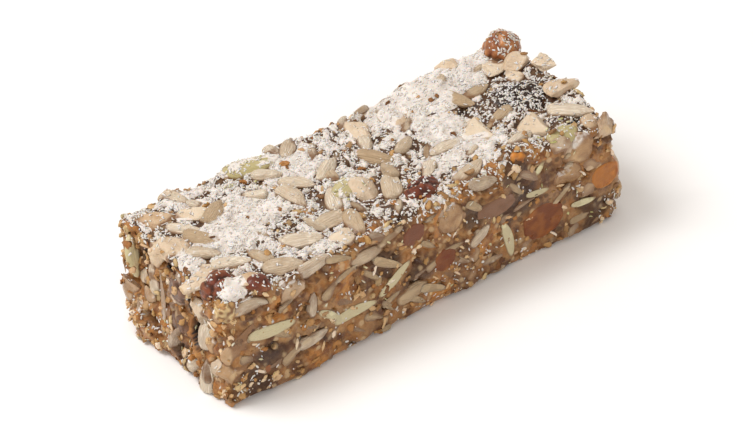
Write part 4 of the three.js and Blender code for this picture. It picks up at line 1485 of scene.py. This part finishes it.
crust = as_piece("coconut_crust", "coconut", blanket(*joined_tree(pieces)))
paste_tree, crust_tree = joined_tree(pieces[:1])[0], joined_tree([crust])[0]
for piece in pieces[1:]:
    # Nearness to the paste, for syrup and painted contact shade there.
    piece["marks"]["rim"] = nearness(piece["points"], paste_tree, CONTACT_SHADE_REACH)
    piece["marks"]["powder"] = nearness(piece["points"], crust_tree, POWDER_REACH)

materials = {"paste": paste_material(), "coconut": blanket_material()}
materials |= {kind: seed_material(**look) for kind, look in SEED_LOOKS.items()}
materials |= {kind: fruit_material(**look) for kind, look in FRUIT_LOOKS.items()}
materials["crumbs"] = flake_material("chopped apricot", tones(GOLDEN_TONES), 0.35, 0.2)
for piece in pieces + [crust]:
    make_piece(piece, materials[piece["kind"]])

# Loose things: how many are dropped on each face, their shape, half sizes from small to large, how
# much they tilt and pile up, how ragged they are, how much the small ones prevail, and where on the
# top they lie.
DROPS = {
    "coconut_shreds": dict(
        counts={"top": 7000, "near": 1500, "far": 1500, "left": 30, "right": 150},
        shape=SHRED, sizes=((0.38, 0.2, 0.09), (0.85, 0.38, 0.18)), tilt=0.25, pile=0.12,
    ),
    "coconut_grains": dict(
        counts={"top": 8000, "near": 2000, "far": 2000, "left": 40, "right": 200},
        shape=SLIVER, sizes=((0.2, 0.15, 0.1), (0.45, 0.34, 0.24)), tilt=0.5, pile=0.1,
    ),
    "paste_crumbs": dict(
        counts={"top": 160, "near": 430, "far": 430, "left": 300, "right": 320},
        shape=LUMP, sizes=((0.25, 0.2, 0.1), (1.7, 1.2, 0.5)), tilt=0.4, pile=0.05, ragged=0.18,
        mostly_small=2.5,
    ),
    "golden_bits": dict(
        counts={"top": 1500, "near": 60, "far": 60, "left": 150, "right": 140},
        shape=LUMP, sizes=((0.35, 0.3, 0.18), (1.7, 1.2, 0.6)), tilt=0.4, pile=0.1, ragged=0.18,
        mostly_small=1.8, patches=GOLDEN,
    ),
    "nut_crumbs": dict(
        counts={"near": 480, "far": 480, "left": 130, "right": 130},
        shape=LUMP, sizes=((0.3, 0.25, 0.15), (1.5, 1.1, 0.6)), tilt=0.5, pile=0.1, ragged=0.2,
        mostly_small=1.5,
    ),
    "nut_splinters": dict(
        counts={"near": 80, "far": 80, "left": 16, "right": 30},
        shape=SPLINTER, sizes=((0.8, 0.25, 0.2), (2.2, 0.5, 0.4)), tilt=0.2, pile=0.1, ragged=0.1,
        mostly_small=1.5,
    ),
    "seed_shreds": dict(
        counts={"top": 2600, "near": 60, "far": 60, "left": 60, "right": 60},
        shape=SHRED, sizes=((0.4, 0.2, 0.1), (1.0, 0.4, 0.2)), tilt=0.4, pile=0.3, patches=GREEN,
    ),
}
HOLLOW_DEPTH = (-2.6, -1.2)  # none stay below the first depth in a face, all above the second
ON_A_SIDE_PILE = 0.05
CLUSTERED = ("coconut_shreds", "coconut_grains", "nut_crumbs")  # which lie in clusters on the sides
STRAYS = 0.4  # the most of them that stays between the clusters
# Where those clusters are: along, up, radius, how much so.
CLUMPS = [
    (-47.7, 12.1, 1.4, 1.0),
    (-44.7, 3.7, 2.2, 1.0),
    (-50.4, 7.2, 2.4, 0.9),
    (-40.8, 5.1, 1.6, 0.9),
    (-53, 3, 2.5, 1.0),
    (-22.5, 2, 1.8, 1.0),
    (-36.8, 10, 1.5, 0.6),
    (-9.3, 4.6, 2.2, 0.9),
    (-13, 17.5, 1.8, 0.7),
    (9.2, 6.9, 1.6, 0.9),
    (14, 19, 1.8, 0.7),
    (27.6, 2.5, 2.2, 1.0),
    (53, 4, 3.5, 1.0),
]
# The share of loose things that stays on each kind.
STICKS_TO = {
    "paste": 0.75,
    "coconut": 0.85,
    "kernel": 0.07,
    "nut": 0.2,
    "pumpkin": 0.35,
    "raisin": 0.25,
    "frosted": 0.8,
    "prune": 0.8,
    "date": 0.12,
    "apricot": 0.08,
    "crumbs": 0.1,
}


def joined_parts(parts):
    """Several meshes with the same marks as one."""
    counts = np.cumsum([0] + [len(part[0]) for part in parts])
    points = np.concatenate([part[0] for part in parts])
    triangles = np.concatenate([part[1] + shift for part, shift in zip(parts, counts)])
    return points, triangles, {"tone": np.concatenate([part[2]["tone"] for part in parts])}


def drop(name, material, seed):
    """Small things dropped on every face and joined in one mesh."""
    draws = np.random.default_rng(seed)
    look, parts = DROPS[name], []
    for face_name, count in look["counts"].items():
        spots, normals, kinds = landings(face_name, count, draws, *land)
        chance = np.array([STICKS_TO[kind] for kind in kinds])
        on_top = face_name == "top"
        if face_name in ("near", "far") and name in CLUSTERED:
            strays = STRAYS * smoothstep(0.05, 0.5, lump_noise(spots, 5, 31))
            chance = chance * np.maximum(strays, around(CLUMPS, faces[face_name].from_bar(spots)))
        if on_top:
            where = around(look["patches"], spots) if "patches" in look else 1 - 0.7 * around(DEEP, spots)
            chance = chance * where * smoothstep(0.1, 0.6, normals[:, 2])
        else:
            local = faces[face_name].from_bar(spots)
            height = local[:, 2] - relief(face_name, local[:, 0], local[:, 1])
            chance = chance * smoothstep(*HOLLOW_DEPTH, height)
        kept = draws.uniform(size=len(spots)) < chance
        spots, normals = spots[kept], normals[kept]
        small, large = map(np.array, look["sizes"])
        share = draws.uniform(size=(len(spots), 1)) ** look.get("mostly_small", 1.0)
        sizes = small + (large - small) * (0.6 * share + 0.4 * draws.uniform(size=(len(spots), 3)))
        lift = draws.uniform(0.0, look["pile"] if on_top else ON_A_SIDE_PILE, len(spots))
        ragged = look.get("ragged", 0.12)
        parts.append(strewn(*look["shape"], spots, normals, sizes, draws, lift, look["tilt"], ragged))
    make_piece(as_piece(name, "coconut", joined_parts(parts)), material)


land = joined_tree(pieces + [crust])
coconut = flake_material("coconut", tones(COCONUT_TONES), 0.6, 0.25)
drop("coconut_shreds", coconut, seed=11)
drop("coconut_grains", coconut, seed=12)
drop("paste_crumbs", flake_material("paste crumb", tones(CRUMB_TONES), 0.4, 0.1), seed=13)
drop("golden_bits", flake_material("fruit and nut bits", tones(GOLDEN_TONES), 0.35, 0.05), seed=14)
drop("seed_shreds", flake_material("pumpkin seed bits", tones(GREEN_TONES), 0.5, 0.1), seed=15)
nut_crumb = flake_material("nut crumb", tones(CREAM_TONES), 0.5, 0.15)
drop("nut_crumbs", nut_crumb, seed=16)
drop("nut_splinters", nut_crumb, seed=17)

# ---- Floor, light and camera ----

FLOOR_SIZE = 6.0  # metres
AIM = Vector((0, 0, 0.01))  # metres, what the lights look at


def plain_floor():
    """A pale floor far larger than the view."""
    bpy.ops.mesh.primitive_plane_add(size=FLOOR_SIZE, location=(0, 0, 0))
    floor = bpy.context.object
    floor.name = "floor"
    material, nodes, shader = new_material("pale floor")
    shade = nodes.ramp(nodes.noise(30.0, 2.0, nodes.place()), 0.0, 1.0, 0.93, 0.96)
    grey = nodes.add("CombineColor", {0: shade, 1: shade, 2: shade}).outputs[0]
    nodes.feed(shader.inputs["Base Color"], grey)
    shader.inputs["Roughness"].default_value = 0.9
    shader.inputs["Specular IOR Level"].default_value = 0.1
    floor.data.materials.append(material)


def add_light(name, place, size, power, colour):
    """A square soft light that looks at the bar."""
    data = bpy.data.lights.new(name, "AREA")
    data.size, data.energy, data.color = size, power, colour
    light = bpy.data.objects.new(name, data)
    light.location = place
    light.rotation_euler = (AIM - Vector(place)).to_track_quat("-Z", "Y").to_euler()
    bpy.context.collection.objects.link(light)


VIEW_AZIMUTH, VIEW_ELEVATION, VIEW_ROLL = -33.48, 35.75, -4.5  # degrees
VIEW_DISTANCE = 900.0  # mm
VIEW_OFFSET = (1.52, 0.87)  # mm to the right and up
VIEW_LENS = 185.3  # mm on a 36 mm sensor


def add_camera():
    """The camera, which looks down on the near long side and the left end."""
    azimuth, elevation, roll = (math.radians(a) for a in (VIEW_AZIMUTH, VIEW_ELEVATION, VIEW_ROLL))
    back = Vector((
        math.sin(azimuth) * math.cos(elevation),
        -math.cos(azimuth) * math.cos(elevation),
        math.sin(elevation),
    ))
    level = Vector((math.cos(azimuth), math.sin(azimuth), 0))
    upright = back.cross(level)
    right = math.cos(roll) * level + math.sin(roll) * upright
    up = math.cos(roll) * upright - math.sin(roll) * level
    place = Vector((0, 0, PRESSED / 2)) + back * VIEW_DISTANCE + right * VIEW_OFFSET[0]
    place += up * VIEW_OFFSET[1]
    data = bpy.data.cameras.new("camera")
    data.lens, data.sensor_width, data.clip_start = VIEW_LENS, 36.0, 0.01
    camera = bpy.data.objects.new("camera", data)
    camera.matrix_world = Matrix.Translation(place * MM) @ Matrix((right, up, back)).transposed().to_4x4()
    bpy.context.collection.objects.link(camera)
    bpy.context.scene.camera = camera


def add_world(strength, colour):
    """Even light from all round."""
    world = bpy.data.worlds.new("studio")
    world.use_nodes = True
    background = world.node_tree.nodes["Background"]
    background.inputs["Color"].default_value = colour
    background.inputs["Strength"].default_value = strength
    bpy.context.scene.world = world


plain_floor()
add_world(0.68, (1.0, 0.935, 0.87, 1))
add_light("key", (-0.42, 0.28, 0.82), 0.45, 5.8, (1.0, 1.0, 1.0))
add_light("glint", (-0.35, -0.75, 0.5), 0.12, 1.2, (1.0, 0.98, 0.96))
add_camera()
bpy.context.scene.view_settings.view_transform = "Standard"
